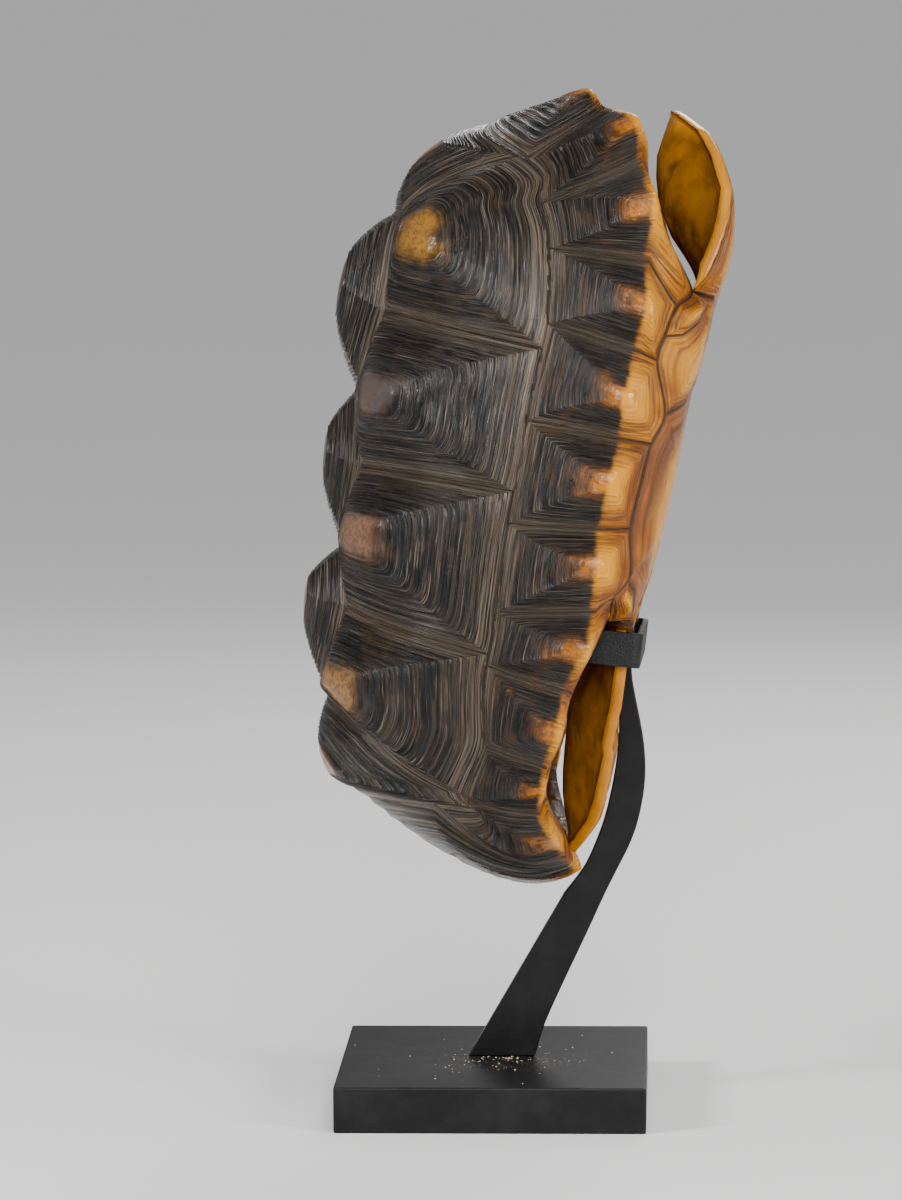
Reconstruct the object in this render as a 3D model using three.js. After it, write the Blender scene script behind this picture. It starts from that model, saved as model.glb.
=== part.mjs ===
// Turtle shell on a stand. Millimetres, +Z up. The shell is worked out in its own frame
// (x to the head, y to its left, z to its back) and then stood on its tail end in the cradle.
import * as THREE from 'three';
import { mergeVertices } from 'three/addons/utils/BufferGeometryUtils.js';

// ---------- pose of the shell ----------
const shellOrigin = new THREE.Vector3(70.2, 4.5, 245.4);
const leanDeg = 11.5;
const tipDeg = 4;
const turnDeg = -1.5;

// ---------- domed back ----------
const domeHalfWidth = 93;
const domeHalfLength = 150;
const domeMiddle = -9;
const domePlanPower = 3;
const domePower = 2.05;
const rimLevel = 24;
const crownLine = [[-147, 95], [-140, 103], [-128, 111], [-110, 117], [-80, 120.5], [-49, 123.5], [-20, 127],
  [12, 129.5], [45, 130.5], [82, 128], [98, 120], [112, 108.5], [125, 96], [134, 83], [139, 76]];

// ---------- marginals: seam under the costals, bend of the side, rim, inner edge of the lip ----------
// the first number counts marginal seams from the head's midline (0) to the tail's (12)
const upperLine = [[0, 124, 0], [1, 110, 58], [2, 94, 73], [3, 78, 81], [4, 50, 87], [5, 13, 88.5], [6, -26, 88.5],
  [7, -60, 87.5], [8, -80, 85.5], [9, -110, 79.5], [10, -132, 67], [11, -138, 58], [12, -144, 0]];
const bendLine = [[0, 131, 0, 88], [1, 124, 45, 66], [2, 106, 70, 51], [3, 80, 84, 42], [4, 49, 92, 41], [5, 14, 94, 41],
  [6, -24, 94, 41], [7, -56, 93, 40], [8, -82, 92, 42], [9, -113, 84, 42], [10, -137, 67, 38], [11, -166, 36, 30],
  [12, -178, 0, 30]];
const rimLine = [[0, 136, 0, 74], [0.5, 140.5, 16, 62], [1, 136.5, 31, 53], [1.5, 131.5, 50, 39.5], [2, 117.5, 65, 33.5],
  [2.5, 101, 75, 26], [3, 80.5, 81, 23.5], [3.5, 64, 86, 20.5], [4, 46.5, 88.5, 20.5], [4.5, 28, 91.5, 22],
  [5, 13.5, 90.5, 19.5], [5.5, -3.5, 92.5, 21], [6, -21, 91.5, 20.5], [6.5, -34, 93.5, 19.5], [7, -51.5, 93, 17],
  [7.5, -66, 95.5, 17.5], [8, -83, 93.5, 21.5], [8.5, -100, 89, 22.3], [9, -114, 82, 23.3], [9.5, -122, 75, 24.5],
  [10, -133, 60, 23], [10.5, -143, 42, 16.5], [11, -150.5, 20, 10.5], [12, -155.7, 0, 6.4]];
const armpit = 2.86;
const groin = 7.35;
const lipLine = [[0, 127, 0, 70], [1, 127, 28, 48], [2, 109, 56, 30], [2.5, 92, 66, 20], [armpit, 72.5, 68, 6],
  [3, 66, 81, 10], [3.5, 54, 84, 12.5], [4, 44.5, 85, 13.6], [4.68, 25, 83, 6.5], [5, 13.5, 84, 9.5], [5.5, -3, 84, 10.5],
  [6, -19, 84, 11], [6.6, -37, 83.5, 7.5], [7, -46, 84, 12], [groin, -56, 67, 13], [8, -84, 81, 20], [8.5, -98, 78, 21],
  [9, -111, 72, 22.5], [9.5, -119, 63, 23.5], [10, -127, 51, 22], [10.5, -135, 34, 17.5], [11, -141, 16, 13.5],
  [12, -146, 0, 12]];

// ---------- belly plate ----------
const plateLine = [[140.5, 24.3], [136, 16.2], [133.7, 12], [125.6, 5.5], [113, -1.5], [102, -4], [92, -5], [76, -3.8],
  [50, -2], [32, -0.8], [0, -0.3], [-40, 0.8], [-56, 2.3], [-72, 2.3], [-88, 1.2], [-100, 0.8], [-120, 0.8], [-134, 1.5], [-143, 5],
  [-149, 8.2]];
const padLine = [[140.5, 27], [139, 28], [132.4, 29.4], [118.4, 30.5], [109, 27.3], [100, 25], [97.6, 22], [92, 18.5],
  [86, 12], [78, 5], [70, 3.2], [-62, 10], [-72, 16], [-84, 21.3], [-95, 22.2], [-106, 20.8], [-115, 20.2], [-122, 19],
  [-132, 16.8], [-138, 14.3], [-145, 11.8], [-149, 11]];
const frontEdge = [[140.5, 0, 24.3], [139, 10, 21.5], [136, 20, 16.2], [133.7, 28, 12], [125.6, 38, 5.5], [113, 49, -1.2],
  [102, 54, -2], [96, 56, -1.6], [86, 58.5, 0], [79, 61, 2], [72.5, 68, 6]];
const rearEdge = [[-56, 67, 13], [-55.5, 61, 9], [-57.5, 57.3, 5.5], [-63, 56, 3.3], [-69, 55.5, 2.5], [-76.4, 54.5, 2],
  [-87.5, 50.5, 1.3], [-99.8, 46.5, 1.5], [-103, 44, 1.6], [-107, 43.5, 0.3], [-114, 40, 0.3], [-125.7, 32, 0.5],
  [-134, 24, 1.5], [-143, 15, 5], [-149, 8, 8], [-146, 0, 8]];
const hollow = { depth: 6.2, middle: -58, halfLength: 70, halfWidth: 50 };
const gularBreak = 3;
const analBreak = 8;
const plateThickness = 4.5;
const edgeThickness = 4.5;
const wall = 5;

// ---------- relief of the scutes ----------
const seamDepth = 1.8;
const step = 9.5;

// ---------- stand ----------
const baseSide = 120;
const baseHeight = 18;
const baseBevel = 0.8;
const fitGap = 0.3;
const bandPlace = { x: -64.5, z: -2, tiltDeg: 5 };
const bandHeight = 13.2;
const bandThickness = 2.4;
const bandHalfSpan = 62;
const bandArm = 30;
const bandRadius = 4;
const uprightThickness = 4;
const uprightRight = [[16, 18.3], [20, 31.5], [27.6, 48.5], [36.3, 67], [43.8, 83.4], [49.2, 94.2], [53.5, 102.9],
  [56.6, 111.6], [58.9, 122.5], [59.7, 132.2], [59.2, 141.9], [57.9, 150.5], [55.8, 161.3], [54.4, 171], [54.9, 184]];
const uprightLeft = [[51.6, 184.5], [50.6, 176], [50.2, 168], [49.6, 155], [49, 142], [47, 128], [43.5, 113], [39, 101],
  [35, 93], [27.7, 83.4], [-4.8, 27.6], [-10.2, 18.3]];

// A smooth curve through hand-set rows: the first number is the place, the rest are the values there.
function through(rows) {
  const keys = rows.map((row) => row[0]);
  const flip = keys[0] > keys[keys.length - 1];
  const list = flip ? rows.slice().reverse() : rows;
  const places = list.map((row) => row[0]);
  const slope = (i, c) => {
    const a = list[Math.max(i - 1, 0)];
    const b = list[Math.min(i + 1, list.length - 1)];
    return (b[c] - a[c]) / (b[0] - a[0]);
  };
  return (place) => {
    const at = Math.min(Math.max(place, places[0]), places[places.length - 1]);
    let i = 0;
    while (i < places.length - 2 && at > places[i + 1]) i += 1;
    const span = places[i + 1] - places[i];
    const t = (at - places[i]) / span;
    const values = [];
    for (let c = 1; c < list[i].length; c += 1) {
      values.push((1 + 2 * t) * (1 - t) ** 2 * list[i][c] + t * (1 - t) ** 2 * span * slope(i, c)
        + t * t * (3 - 2 * t) * list[i + 1][c] + t * t * (t - 1) * span * slope(i + 1, c));
    }
    return values;
  };
}
const crown = through(crownLine);
const upperAt = through(upperLine);
const bendAt = through(bendLine);
const rimAt = through(rimLine);
const lipAt = through(lipLine);
const plateAt = through(plateLine);
const padAt = through(padLine);
const lobeHalf = through([...rearEdge.slice(1, -1).map((p) => [p[0], p[1]]).filter((p, i, all) => i === 0
  || p[0] < all[i - 1][0]).reverse(), [0, 68], ...frontEdge.slice().reverse().map((p) => [p[0], p[1]])]);

const halfWidthAt = (x) => domeHalfWidth
  * Math.max(1 - Math.abs((x - domeMiddle) / domeHalfLength) ** domePlanPower, 0.001) ** (1 / domePlanPower);

// The dome's own coordinates: x, and the angle round the back, so that steps over it stay even.
function domeSpot(x, y) {
  const share = Math.min(Math.abs(y) / halfWidthAt(x), 0.9995);
  return [x, Math.sign(y) * Math.asin(share ** (domePower / 2)) * 60];
}
function domePoint([x, turn]) {
  const a = turn / 60;
  const y = halfWidthAt(x) * Math.sign(a) * Math.abs(Math.sin(a)) ** (2 / domePower);
  const z = rimLevel + (crown(x)[0] - rimLevel) * Math.abs(Math.cos(a)) ** (2 / domePower);
  return new THREE.Vector3(x, y, z);
}
function upperPoint(t) {
  const [x, y] = upperAt(t);
  return domePoint(domeSpot(x, y));
}
// The marginals' own coordinates: t along the rim (24 - t on the animal's right), w across it,
// 0 at the costals, 1 on the rim, 2 at the inner edge of the lip.
function marginPoint([t, w]) {
  const right = t > 12;
  const along = right ? 24 - t : t;
  const rim = new THREE.Vector3(...rimAt(along));
  let point;
  if (w <= 1) {
    const upper = upperPoint(along);
    const bend = new THREE.Vector3(...bendAt(along));
    point = upper.multiplyScalar((1 - w) ** 2).addScaledVector(bend, 2 * w * (1 - w)).addScaledVector(rim, w * w);
  } else {
    point = rim.lerp(new THREE.Vector3(...lipAt(along)), Math.min(w - 1, 1));
  }
  if (right) point.y *= -1;
  return point;
}
// The belly plate's own coordinates are plain x and y.
function bellyPoint([x, y]) {
  const side = Math.max(Math.abs(y) - 58, 0) / 26;
  const alongHollow = Math.max(1 - ((x - hollow.middle) / hollow.halfLength) ** 2, 0);
  const acrossHollow = Math.max(1 - (y / hollow.halfWidth) ** 2, 0);
  return new THREE.Vector3(x, y, plateAt(x)[0] + 10 * side * side + hollow.depth * alongHollow * acrossHollow);
}
function plateInside(x, y) {
  const floor = bellyPoint([x, y]).z + plateThickness;
  const share = Math.min(Math.abs(y) / lobeHalf(x)[0], 1);
  return Math.max(floor, floor + (padAt(x)[0] - floor) * Math.cos(share * Math.PI / 2) ** 2);
}

// Outward normal of a surface given by one of the three coordinate functions.
function normalOf(surface, [u, v], du, dv) {
  const across = surface([u + du, v]).sub(surface([u - du, v]));
  const up = surface([u, v + dv]).sub(surface([u, v - dv]));
  return across.cross(up).normalize();
}
const domeKind = { point: domePoint, normal: (q) => normalOf(domePoint, q, 2, 2) };
// on the rim the normal is the mean of the dark face's and the underside's
const marginKind = {
  point: marginPoint,
  normal: ([t, w]) => {
    const along = Math.min(Math.max(t, 0.1), 23.9);
    const above = normalOf(marginPoint, [along, Math.min(Math.max(w, 0.1), 0.9)], 0.08, 0.09).negate();
    const below = normalOf(marginPoint, [along, Math.min(Math.max(w, 1.1), 1.9)], 0.08, 0.09).negate();
    return above.lerp(below, Math.min(Math.max((w - 0.8) / 0.4, 0), 1)).normalize();
  },
};
const bellyKind = { point: bellyPoint, normal: (q) => normalOf(bellyPoint, q, 2, 2).negate() };

// ---------- samples of the seams, made once and shared by the scutes on both sides of them ----------
function sunk(kind, spot, depth) {
  return kind.point(spot).addScaledVector(kind.normal(spot), -depth);
}
function stepsBetween(a, b) {
  return Math.max(1, Math.round(a.distanceTo(b) / step));
}
const upperBreaks = [0, 0.92, 1, 2, 3, 4, 4.27, 5, 5.68, 6, 7, 7.81, 8, 9, 10, 11, 12];
const lipBreaks = [0, 1, 2, armpit, 3, 3.5, 4, 4.68, 5, 6, 6.6, 7, groin, 8, 9, 10, 11, 12];
function alongBreaks(breaks, pointAt) {
  const list = [breaks[0]];
  for (let i = 1; i < breaks.length; i += 1) {
    const count = stepsBetween(pointAt(breaks[i - 1]), pointAt(breaks[i]));
    for (let k = 1; k <= count; k += 1) list.push(breaks[i - 1] + (breaks[i] - breaks[i - 1]) * k / count);
  }
  return list;
}
const upperPlaces = alongBreaks(upperBreaks, upperPoint);
const lipPlaces = alongBreaks(lipBreaks, (t) => new THREE.Vector3(...lipAt(t)));
const rightSide = (point, side) => (side < 0 ? point.multiply(new THREE.Vector3(1, -1, 1)) : point);
const onSide = (t, side) => (side < 0 ? 24 - t : t);

function upperSample(t, side) {
  const [x, y] = upperAt(t);
  return { point: sunk(domeKind, domeSpot(x, side * y), seamDepth), dome: domeSpot(x, side * y), margin: [onSide(t, side), 0] };
}
function lipSample(t, side) {
  const point = marginPoint([onSide(t, side), 2]);
  return { point, margin: [onSide(t, side), 2], belly: [point.x, point.y] };
}
function run(places, sample, side, from, to) {
  const list = places.filter((t) => t > Math.min(from, to) - 1e-6 && t < Math.max(from, to) + 1e-6);
  if (from > to) list.reverse();
  return list.map((t) => sample(t, side));
}
const upperRun = (side, from, to) => run(upperPlaces, upperSample, side, from, to);
const lipRun = (side, from, to) => run(lipPlaces, lipSample, side, from, to);
// seam between two marginals, from the costals over the rim to the lip
function crossRun(side, t) {
  const list = [upperSample(t, side)];
  for (const w of [0.25, 0.5, 0.78, 1, 1.5]) {
    const spot = [onSide(t, side), w];
    list.push({ point: sunk(marginKind, spot, w < 1 ? seamDepth : 0.6), margin: spot });
  }
  if (t === 0) list.forEach((sample, i) => { if (i > 0) sample.point.y = 0; });
  list.push(lipSample(t, side));
  return list;
}
// seam drawn on the dome or the belly through corner points, mirrored by side
function drawn(kind, name, toSpot, corners, depth) {
  const list = [];
  for (let i = 0; i < corners.length; i += 1) {
    const b = corners[i];
    if (i > 0) {
      const a = corners[i - 1];
      const count = stepsBetween(new THREE.Vector3(a[0], a[1], 0), new THREE.Vector3(b[0], b[1], 0));
      for (let k = 1; k < count; k += 1) {
        list.push(toSpot(a[0] + (b[0] - a[0]) * k / count, a[1] + (b[1] - a[1]) * k / count));
      }
    }
    list.push(toSpot(b[0], b[1]));
  }
  return list.map((spot) => ({ point: sunk(kind, spot, depth), [name]: spot }));
}
const onDome = (side, corners) => drawn(domeKind, 'dome', domeSpot, corners.map(([x, y]) => [x, side * y]), seamDepth);
const onBelly = (side, corners) => drawn(bellyKind, 'belly', (x, y) => [x, y], corners.map(([x, y]) => [x, side * y]), 0.5);
function edgeRun(side, rows) {
  const list = [];
  rows.forEach((row, i) => {
    const here = new THREE.Vector3(...row);
    if (i > 0) {
      const before = new THREE.Vector3(...rows[i - 1]);
      const count = stepsBetween(before, here);
      for (let k = 1; k < count; k += 1) list.push(before.clone().lerp(here, k / count));
    }
    list.push(here);
  });
  return list.map((p) => ({ point: new THREE.Vector3(p.x, side * p.y, p.z), belly: [p.x, side * p.y] }));
}
const backwards = (list) => list.slice().reverse();

// ---------- one closed skin ----------
const triangles = [];
function face(a, b, c) {
  if (a.distanceTo(b) < 1e-4 || b.distanceTo(c) < 1e-4 || a.distanceTo(c) < 1e-4) return;
  triangles.push(a, b, c);
}
function strip(lower, upper, closed) {
  const count = lower.length;
  for (let i = 0; i < (closed ? count : count - 1); i += 1) {
    const j = (i + 1) % count;
    face(lower[i], lower[j], upper[j]);
    face(lower[i], upper[j], upper[i]);
  }
}
// A scute: rings that shrink from its seams to its old centre and climb to it.
function scute(kind, name, runs, shape) {
  const outline = [];
  for (const list of runs) {
    for (const sample of list) {
      const last = outline[outline.length - 1];
      if (!last || last.point.distanceTo(sample.point) > 1e-3) outline.push(sample);
    }
  }
  if (outline[0].point.distanceTo(outline[outline.length - 1].point) < 1e-3) outline.pop();
  const spots = outline.map((sample) => sample[name]);
  const middle = [0, 1].map((c) => spots.reduce((sum, spot) => sum + spot[c], 0) / spots.length);
  const offset = spots.map((spot, i) => outline[i].point.clone().sub(sunk(kind, spot, shape.sink)));
  const facing = kind.normal(shape.centre);
  const turn = new THREE.Vector3();
  outline.forEach((sample, i) => turn.add(sample.point.clone().sub(outline[0].point)
    .cross(outline[(i + 1) % outline.length].point.clone().sub(outline[0].point))));
  const ordered = turn.dot(facing) > 0;
  const join = (a, b) => (ordered ? strip(a, b, true) : strip(b, a, true));
  let before = outline.map((sample) => sample.point);
  for (const [s, height] of shape.rings) {
    const ring = spots.map((spot, i) => {
      const old = [0, 1].map((c) => shape.centre[c] + shape.areola * (spot[c] - middle[c]));
      const here = [0, 1].map((c) => spot[c] * (1 - s) + old[c] * s);
      return kind.point(here).addScaledVector(kind.normal(here), height * shape.height - shape.sink * (1 - s))
        .addScaledVector(offset[i], (1 - s) ** 2);
    });
    join(before, ring);
    before = ring;
  }
  const top = kind.point(shape.centre).addScaledVector(facing, shape.height * 1.08);
  before.forEach((point, i) => {
    const next = before[(i + 1) % before.length];
    if (ordered) face(point, next, top);
    else face(next, point, top);
  });
}
const costalRings = [[0.1, 0.2], [0.38, 0.5], [0.7, 0.82], [1, 1]];
const marginRings = [[0.14, 0.3], [0.55, 0.75], [1, 1]];
const bellyRings = [[0.15, 0.6], [1, 1]];

function addBack() {
  const vertebrals = [
    { front: null, back: [80.6, 28], corner: null, centre: [105, 0], height: 4, areola: 0.3 },
    { front: [80.6, 28], corner: [42.8, 38], back: [11.3, 27], centre: [50, 0], height: 11, areola: 0.32 },
    { front: [11.3, 27], corner: [-17.6, 38], back: [-49.2, 27], centre: [-15, 0], height: 7.5, areola: 0.32 },
    { front: [-49.2, 27], corner: [-71.3, 36], back: [-107.5, 18], centre: [-72, 0], height: 10, areola: 0.3 },
    { front: [-107.5, 18], corner: null, back: null, centre: [-132, 0], height: 4, areola: 0.3 },
  ];
  const toFirst = [[111.4, 49.5], [101, 44], [91, 34], [80.6, 28]];
  const fromLast = [[-107.5, 18], [-110, 38], [-116, 54], [-132, 67]];
  toFirst[0] = upperAt(0.92);
  fromLast[3] = upperAt(10);
  const acrossSeam = ([x, y], bow) => onDome(1, [[x, y], [x + bow, 0], [x, -y]]);
  const shapeOf = (v) => ({ centre: v.centre, height: v.height, areola: v.areola, sink: seamDepth, rings: costalRings });

  scute(domeKind, 'dome', [onDome(1, toFirst), acrossSeam(vertebrals[0].back, 1), backwards(onDome(-1, toFirst)),
    upperRun(-1, 0.92, 0), upperRun(1, 0, 0.92)], shapeOf(vertebrals[0]));
  for (const v of vertebrals.slice(1, 4)) {
    const sides = [v.front, [(v.front[0] + v.corner[0]) / 2, (v.front[1] + v.corner[1]) / 2 + 1], v.corner,
      [(v.back[0] + v.corner[0]) / 2, (v.back[1] + v.corner[1]) / 2 + 1], v.back];
    v.sides = sides;
    scute(domeKind, 'dome', [onDome(1, sides), acrossSeam(v.back, -1), backwards(onDome(-1, sides)),
      backwards(acrossSeam(v.front, v === vertebrals[1] ? 1 : -1))], shapeOf(v));
  }
  scute(domeKind, 'dome', [backwards(acrossSeam(vertebrals[4].front, -1)), onDome(1, fromLast), upperRun(1, 10, 12),
    upperRun(-1, 12, 10), backwards(onDome(-1, fromLast))], shapeOf(vertebrals[4]));

  for (const side of [1, -1]) {
    const costalSeams = [[vertebrals[1].corner, 4.27], [vertebrals[2].corner, 5.68], [vertebrals[3].corner, 7.81]]
      .map(([corner, t]) => onDome(side, [corner, upperAt(t)]));
    const half = (v, first) => onDome(side, first ? v.sides.slice(0, 3) : v.sides.slice(2));
    const costals = [
      { runs: [backwards(upperRun(side, 0.92, 4.27)), onDome(side, toFirst), half(vertebrals[1], true), costalSeams[0]],
        centre: [72, 56], height: 8 },
      { runs: [backwards(costalSeams[0]), half(vertebrals[1], false), half(vertebrals[2], true), costalSeams[1],
        backwards(upperRun(side, 4.27, 5.68))], centre: [11, 56], height: 9 },
      { runs: [backwards(costalSeams[1]), half(vertebrals[2], false), half(vertebrals[3], true), costalSeams[2],
        backwards(upperRun(side, 5.68, 7.81))], centre: [-42, 55], height: 9 },
      { runs: [backwards(costalSeams[2]), half(vertebrals[3], false), onDome(side, fromLast),
        backwards(upperRun(side, 7.81, 10))], centre: [-99, 46], height: 7 },
    ];
    for (const c of costals) {
      scute(domeKind, 'dome', c.runs, { centre: domeSpot(c.centre[0], side * c.centre[1]), height: c.height, areola: 0.26,
        sink: seamDepth, rings: costalRings });
    }
  }
}

function addMargin() {
  for (const side of [1, -1]) {
    for (let k = 0; k < 11; k += 1) {
      scute(marginKind, 'margin', [upperRun(side, k, k + 1), crossRun(side, k + 1), lipRun(side, k + 1, k),
        backwards(crossRun(side, k))], { centre: [onSide(k + 0.5, side), 1], height: 1.6, areola: 0.2, sink: 1.2,
        rings: marginRings });
    }
  }
  scute(marginKind, 'margin', [upperRun(1, 11, 12), upperRun(-1, 12, 11), crossRun(-1, 11), lipRun(-1, 11, 12),
    lipRun(1, 12, 11), backwards(crossRun(1, 11))], { centre: [12, 0.8], height: 2, areola: 0.2, sink: 1.2,
    rings: marginRings });
}

function addBelly() {
  const midline = [108, 60, 43, -46, -113, -146];
  const gap = (from, to) => onBelly(1, [[from, 0], [to, 0]]);
  for (const side of [1, -1]) {
    const front = edgeRun(side, frontEdge.slice(0, gularBreak + 1));
    const frontRest = edgeRun(side, frontEdge.slice(gularBreak));
    const rear = edgeRun(side, rearEdge.slice(0, analBreak + 1));
    const rearRest = edgeRun(side, rearEdge.slice(analBreak));
    const ends = { gular: frontEdge[gularBreak], arm: lipAt(armpit), cross: lipAt(4.68), leg: lipAt(groin),
      anal: rearEdge[analBreak], axil: lipAt(3.5), groinFold: lipAt(6.6) };
    const join = (list, first, last) => {
      if (first) list[0] = first;
      if (last) list[list.length - 1] = last;
      return list;
    };
    const at = (t) => lipSample(t, side);
    const gular = join(onBelly(side, [ends.gular, [midline[0], 0]]), front[front.length - 1], null);
    const humeral = join(onBelly(side, [ends.arm, [midline[1], 0]]), at(armpit), null);
    const pectoral = join(onBelly(side, [ends.cross, [40, 40], [midline[2], 0]]), at(4.68), null);
    const abdominal = join(onBelly(side, [ends.leg, [-50, 40], [midline[3], 0]]), at(groin), null);
    const femoral = join(onBelly(side, [ends.anal, [midline[4], 0]]), rear[rear.length - 1], null);
    const axillary = join(onBelly(side, [ends.arm, [62, 73], ends.axil]), at(armpit), at(3.5));
    const inguinal = join(onBelly(side, [ends.groinFold, [-43, 73], ends.leg]), at(6.6), at(groin));
    const plates = [
      { runs: [front, gular, gap(midline[0], frontEdge[0][0])], centre: [127, 12] },
      { runs: [frontRest, humeral, gap(midline[1], midline[0]), backwards(gular)], centre: [90, 30] },
      { runs: [axillary, lipRun(side, 3.5, 4.68), pectoral, gap(midline[2], midline[1]), backwards(humeral)], centre: [45, 60] },
      { runs: [lipRun(side, 4.68, 6.6), inguinal, abdominal, gap(midline[3], midline[2]), backwards(pectoral)],
        centre: [-5, 45] },
      { runs: [rear, femoral, gap(midline[4], midline[3]), backwards(abdominal)], centre: [-70, 26] },
      { runs: [rearRest, gap(midline[5], midline[4]), backwards(femoral)], centre: [-128, 14] },
      { runs: [lipRun(side, armpit, 3.5), backwards(axillary)], centre: [64, 78], height: 0.6 },
      { runs: [lipRun(side, 6.6, groin), backwards(inguinal)], centre: [-46, 78], height: 1.4 },
    ];
    // the two ends of the midline are the lobes' own edge points
    plates[0].runs[2][plates[0].runs[2].length - 1] = front[0];
    plates[5].runs[1][0] = rearRest[rearRest.length - 1];
    for (const p of plates) {
      scute(bellyKind, 'belly', p.runs, { centre: [p.centre[0], side * p.centre[1]], height: p.height || 0.5, areola: 0.3,
        sink: 0.5, rings: bellyRings });
    }
  }
}

// The hollow inside: the dome from its ridge to the lip, then the belly plate from its edge to its midline.
function addInside() {
  const domeRows = [0, 0.34, 0.67, 1];
  const sideRows = [0.35, 0.7];
  const plateRows = [0, 0.3, 0.62, 1];
  for (const side of [1, -1]) {
    const flip = side < 0;
    const join = (a, b) => (flip ? strip(a, b, false) : strip(b, a, false));
    const ribOver = (t) => {
      const [ux, uy] = upperAt(t);
      const top = domeSpot(domeMiddle + 0.5 * (ux - domeMiddle), 0);
      const foot = domeSpot(ux, side * uy);
      const rib = domeRows.map((s) => sunk(domeKind, [0, 1].map((c) => top[c] + (foot[c] - top[c]) * s), wall));
      if (uy < 0.01) rib.forEach((p) => { p.y = 0; });
      rib[0].y = 0;
      const start = rib[rib.length - 1];
      const spot = [onSide(t, side), 0.8];
      const bend = sunk(marginKind, spot, 9);
      if (uy < 0.01) bend.y = 0;
      const end = insideLip(t);
      for (const s of sideRows) {
        rib.push(start.clone().multiplyScalar((1 - s) ** 2).addScaledVector(bend, 2 * s * (1 - s)).addScaledVector(end, s * s));
      }
      rib.push(end);
      return rib;
    };
    const insideLip = (t) => {
      const end = marginPoint([onSide(t, side), 2]);
      const share = t > armpit && t < groin ? Math.min(1, (t - armpit) / 0.6, (groin - t) / 0.35) : 0;
      if (share > 0) {
        end.y -= side * 8 * share;
        end.z = end.z * (1 - share) + plateInside(end.x, Math.abs(end.y)) * share;
      }
      return end;
    };
    const ribs = lipPlaces.map(ribOver);
    for (let i = 1; i < ribs.length; i += 1) join(ribs[i - 1], ribs[i]);

    // edge of a lobe: bottom, bulge and inner lip, all three meeting at the armpit and the groin
    const lobe = (rows, cut) => {
      const outer = [...edgeRun(side, rows.slice(0, cut + 1)), ...edgeRun(side, rows.slice(cut)).slice(1)].map((s) => s.point);
      const notchEnd = rows === frontEdge ? outer.length - 1 : 0;
      const inner = outer.map((p, i) => {
        const near = Math.min(1, Math.abs(i - notchEnd) / 2);
        return p.clone().add(new THREE.Vector3(0, 0, edgeThickness * near));
      });
      const bulge = outer.map((p, i) => {
        const near = Math.min(1, Math.abs(i - notchEnd) / 2);
        const away = Math.abs(p.y) < 0.01 ? 0 : 0.8 * side;
        return p.clone().add(new THREE.Vector3(Math.sign(p.x) * 0.4 * near, away * near, 0.5 * edgeThickness * near));
      });
      join(bulge, outer);
      join(inner, bulge);
      return inner;
    };
    const front = lobe(frontEdge, gularBreak);
    const rear = lobe(rearEdge, analBreak);
    const bridge = lipPlaces.filter((t) => t > armpit + 1e-6 && t < groin - 1e-6).map(insideLip);
    const around = [...front, ...bridge, ...rear];
    const plateRibs = around.map((edge) => {
      const target = -4 + 0.6 * (edge.x + 4);
      return plateRows.map((s) => {
        if (s === 0) return edge;
        const x = edge.x + (target - edge.x) * s;
        const y = s === 1 ? 0 : edge.y * (1 - s);
        return new THREE.Vector3(x, y, plateInside(x, Math.abs(y)));
      });
    });
    for (let i = 1; i < plateRibs.length; i += 1) join(plateRibs[i - 1], plateRibs[i]);
  }
}

function closedGeometry(points) {
  const geometry = new THREE.BufferGeometry();
  geometry.setAttribute('position', new THREE.Float32BufferAttribute(points.flatMap((p) => [p.x, p.y, p.z]), 3));
  const merged = mergeVertices(geometry, 2e-3);
  merged.computeVertexNormals();
  return merged;
}

// ---------- materials ----------
const hornMaterial = () => new THREE.MeshStandardMaterial({ color: 0x4a3826, roughness: 0.5, metalness: 0 });
const leatherMaterial = () => new THREE.MeshStandardMaterial({ color: 0x17171a, roughness: 0.6, metalness: 0 });
const steelMaterial = () => new THREE.MeshStandardMaterial({ color: 0x0e0e10, roughness: 0.45, metalness: 0.4 });
const baseMaterial = () => new THREE.MeshStandardMaterial({ color: 0x121214, roughness: 0.5, metalness: 0 });

// Frame of the shell in the world: head up and leaning, a little away at the top and a little turned.
function shellFrame() {
  const rad = THREE.MathUtils.degToRad;
  const upright = new THREE.Vector3(Math.sin(rad(leanDeg)), 0, Math.cos(rad(leanDeg)));
  const depth = new THREE.Vector3(0, 1, 0);
  const head = upright.clone().multiplyScalar(Math.cos(rad(tipDeg))).addScaledVector(depth, Math.sin(rad(tipDeg)));
  const level = depth.clone().multiplyScalar(Math.cos(rad(tipDeg))).addScaledVector(upright, -Math.sin(rad(tipDeg)));
  const plainBack = upright.clone().cross(depth);
  const back = plainBack.clone().multiplyScalar(Math.cos(rad(turnDeg))).addScaledVector(level, -Math.sin(rad(turnDeg)));
  const left = back.clone().cross(head);
  return new THREE.Matrix4().makeBasis(head, left, back).setPosition(shellOrigin);
}

function makeShell() {
  addBack();
  addMargin();
  addBelly();
  addInside();
  const mesh = new THREE.Mesh(closedGeometry(triangles), hornMaterial());
  mesh.name = 'turtle_shell';
  return mesh;
}

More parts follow.
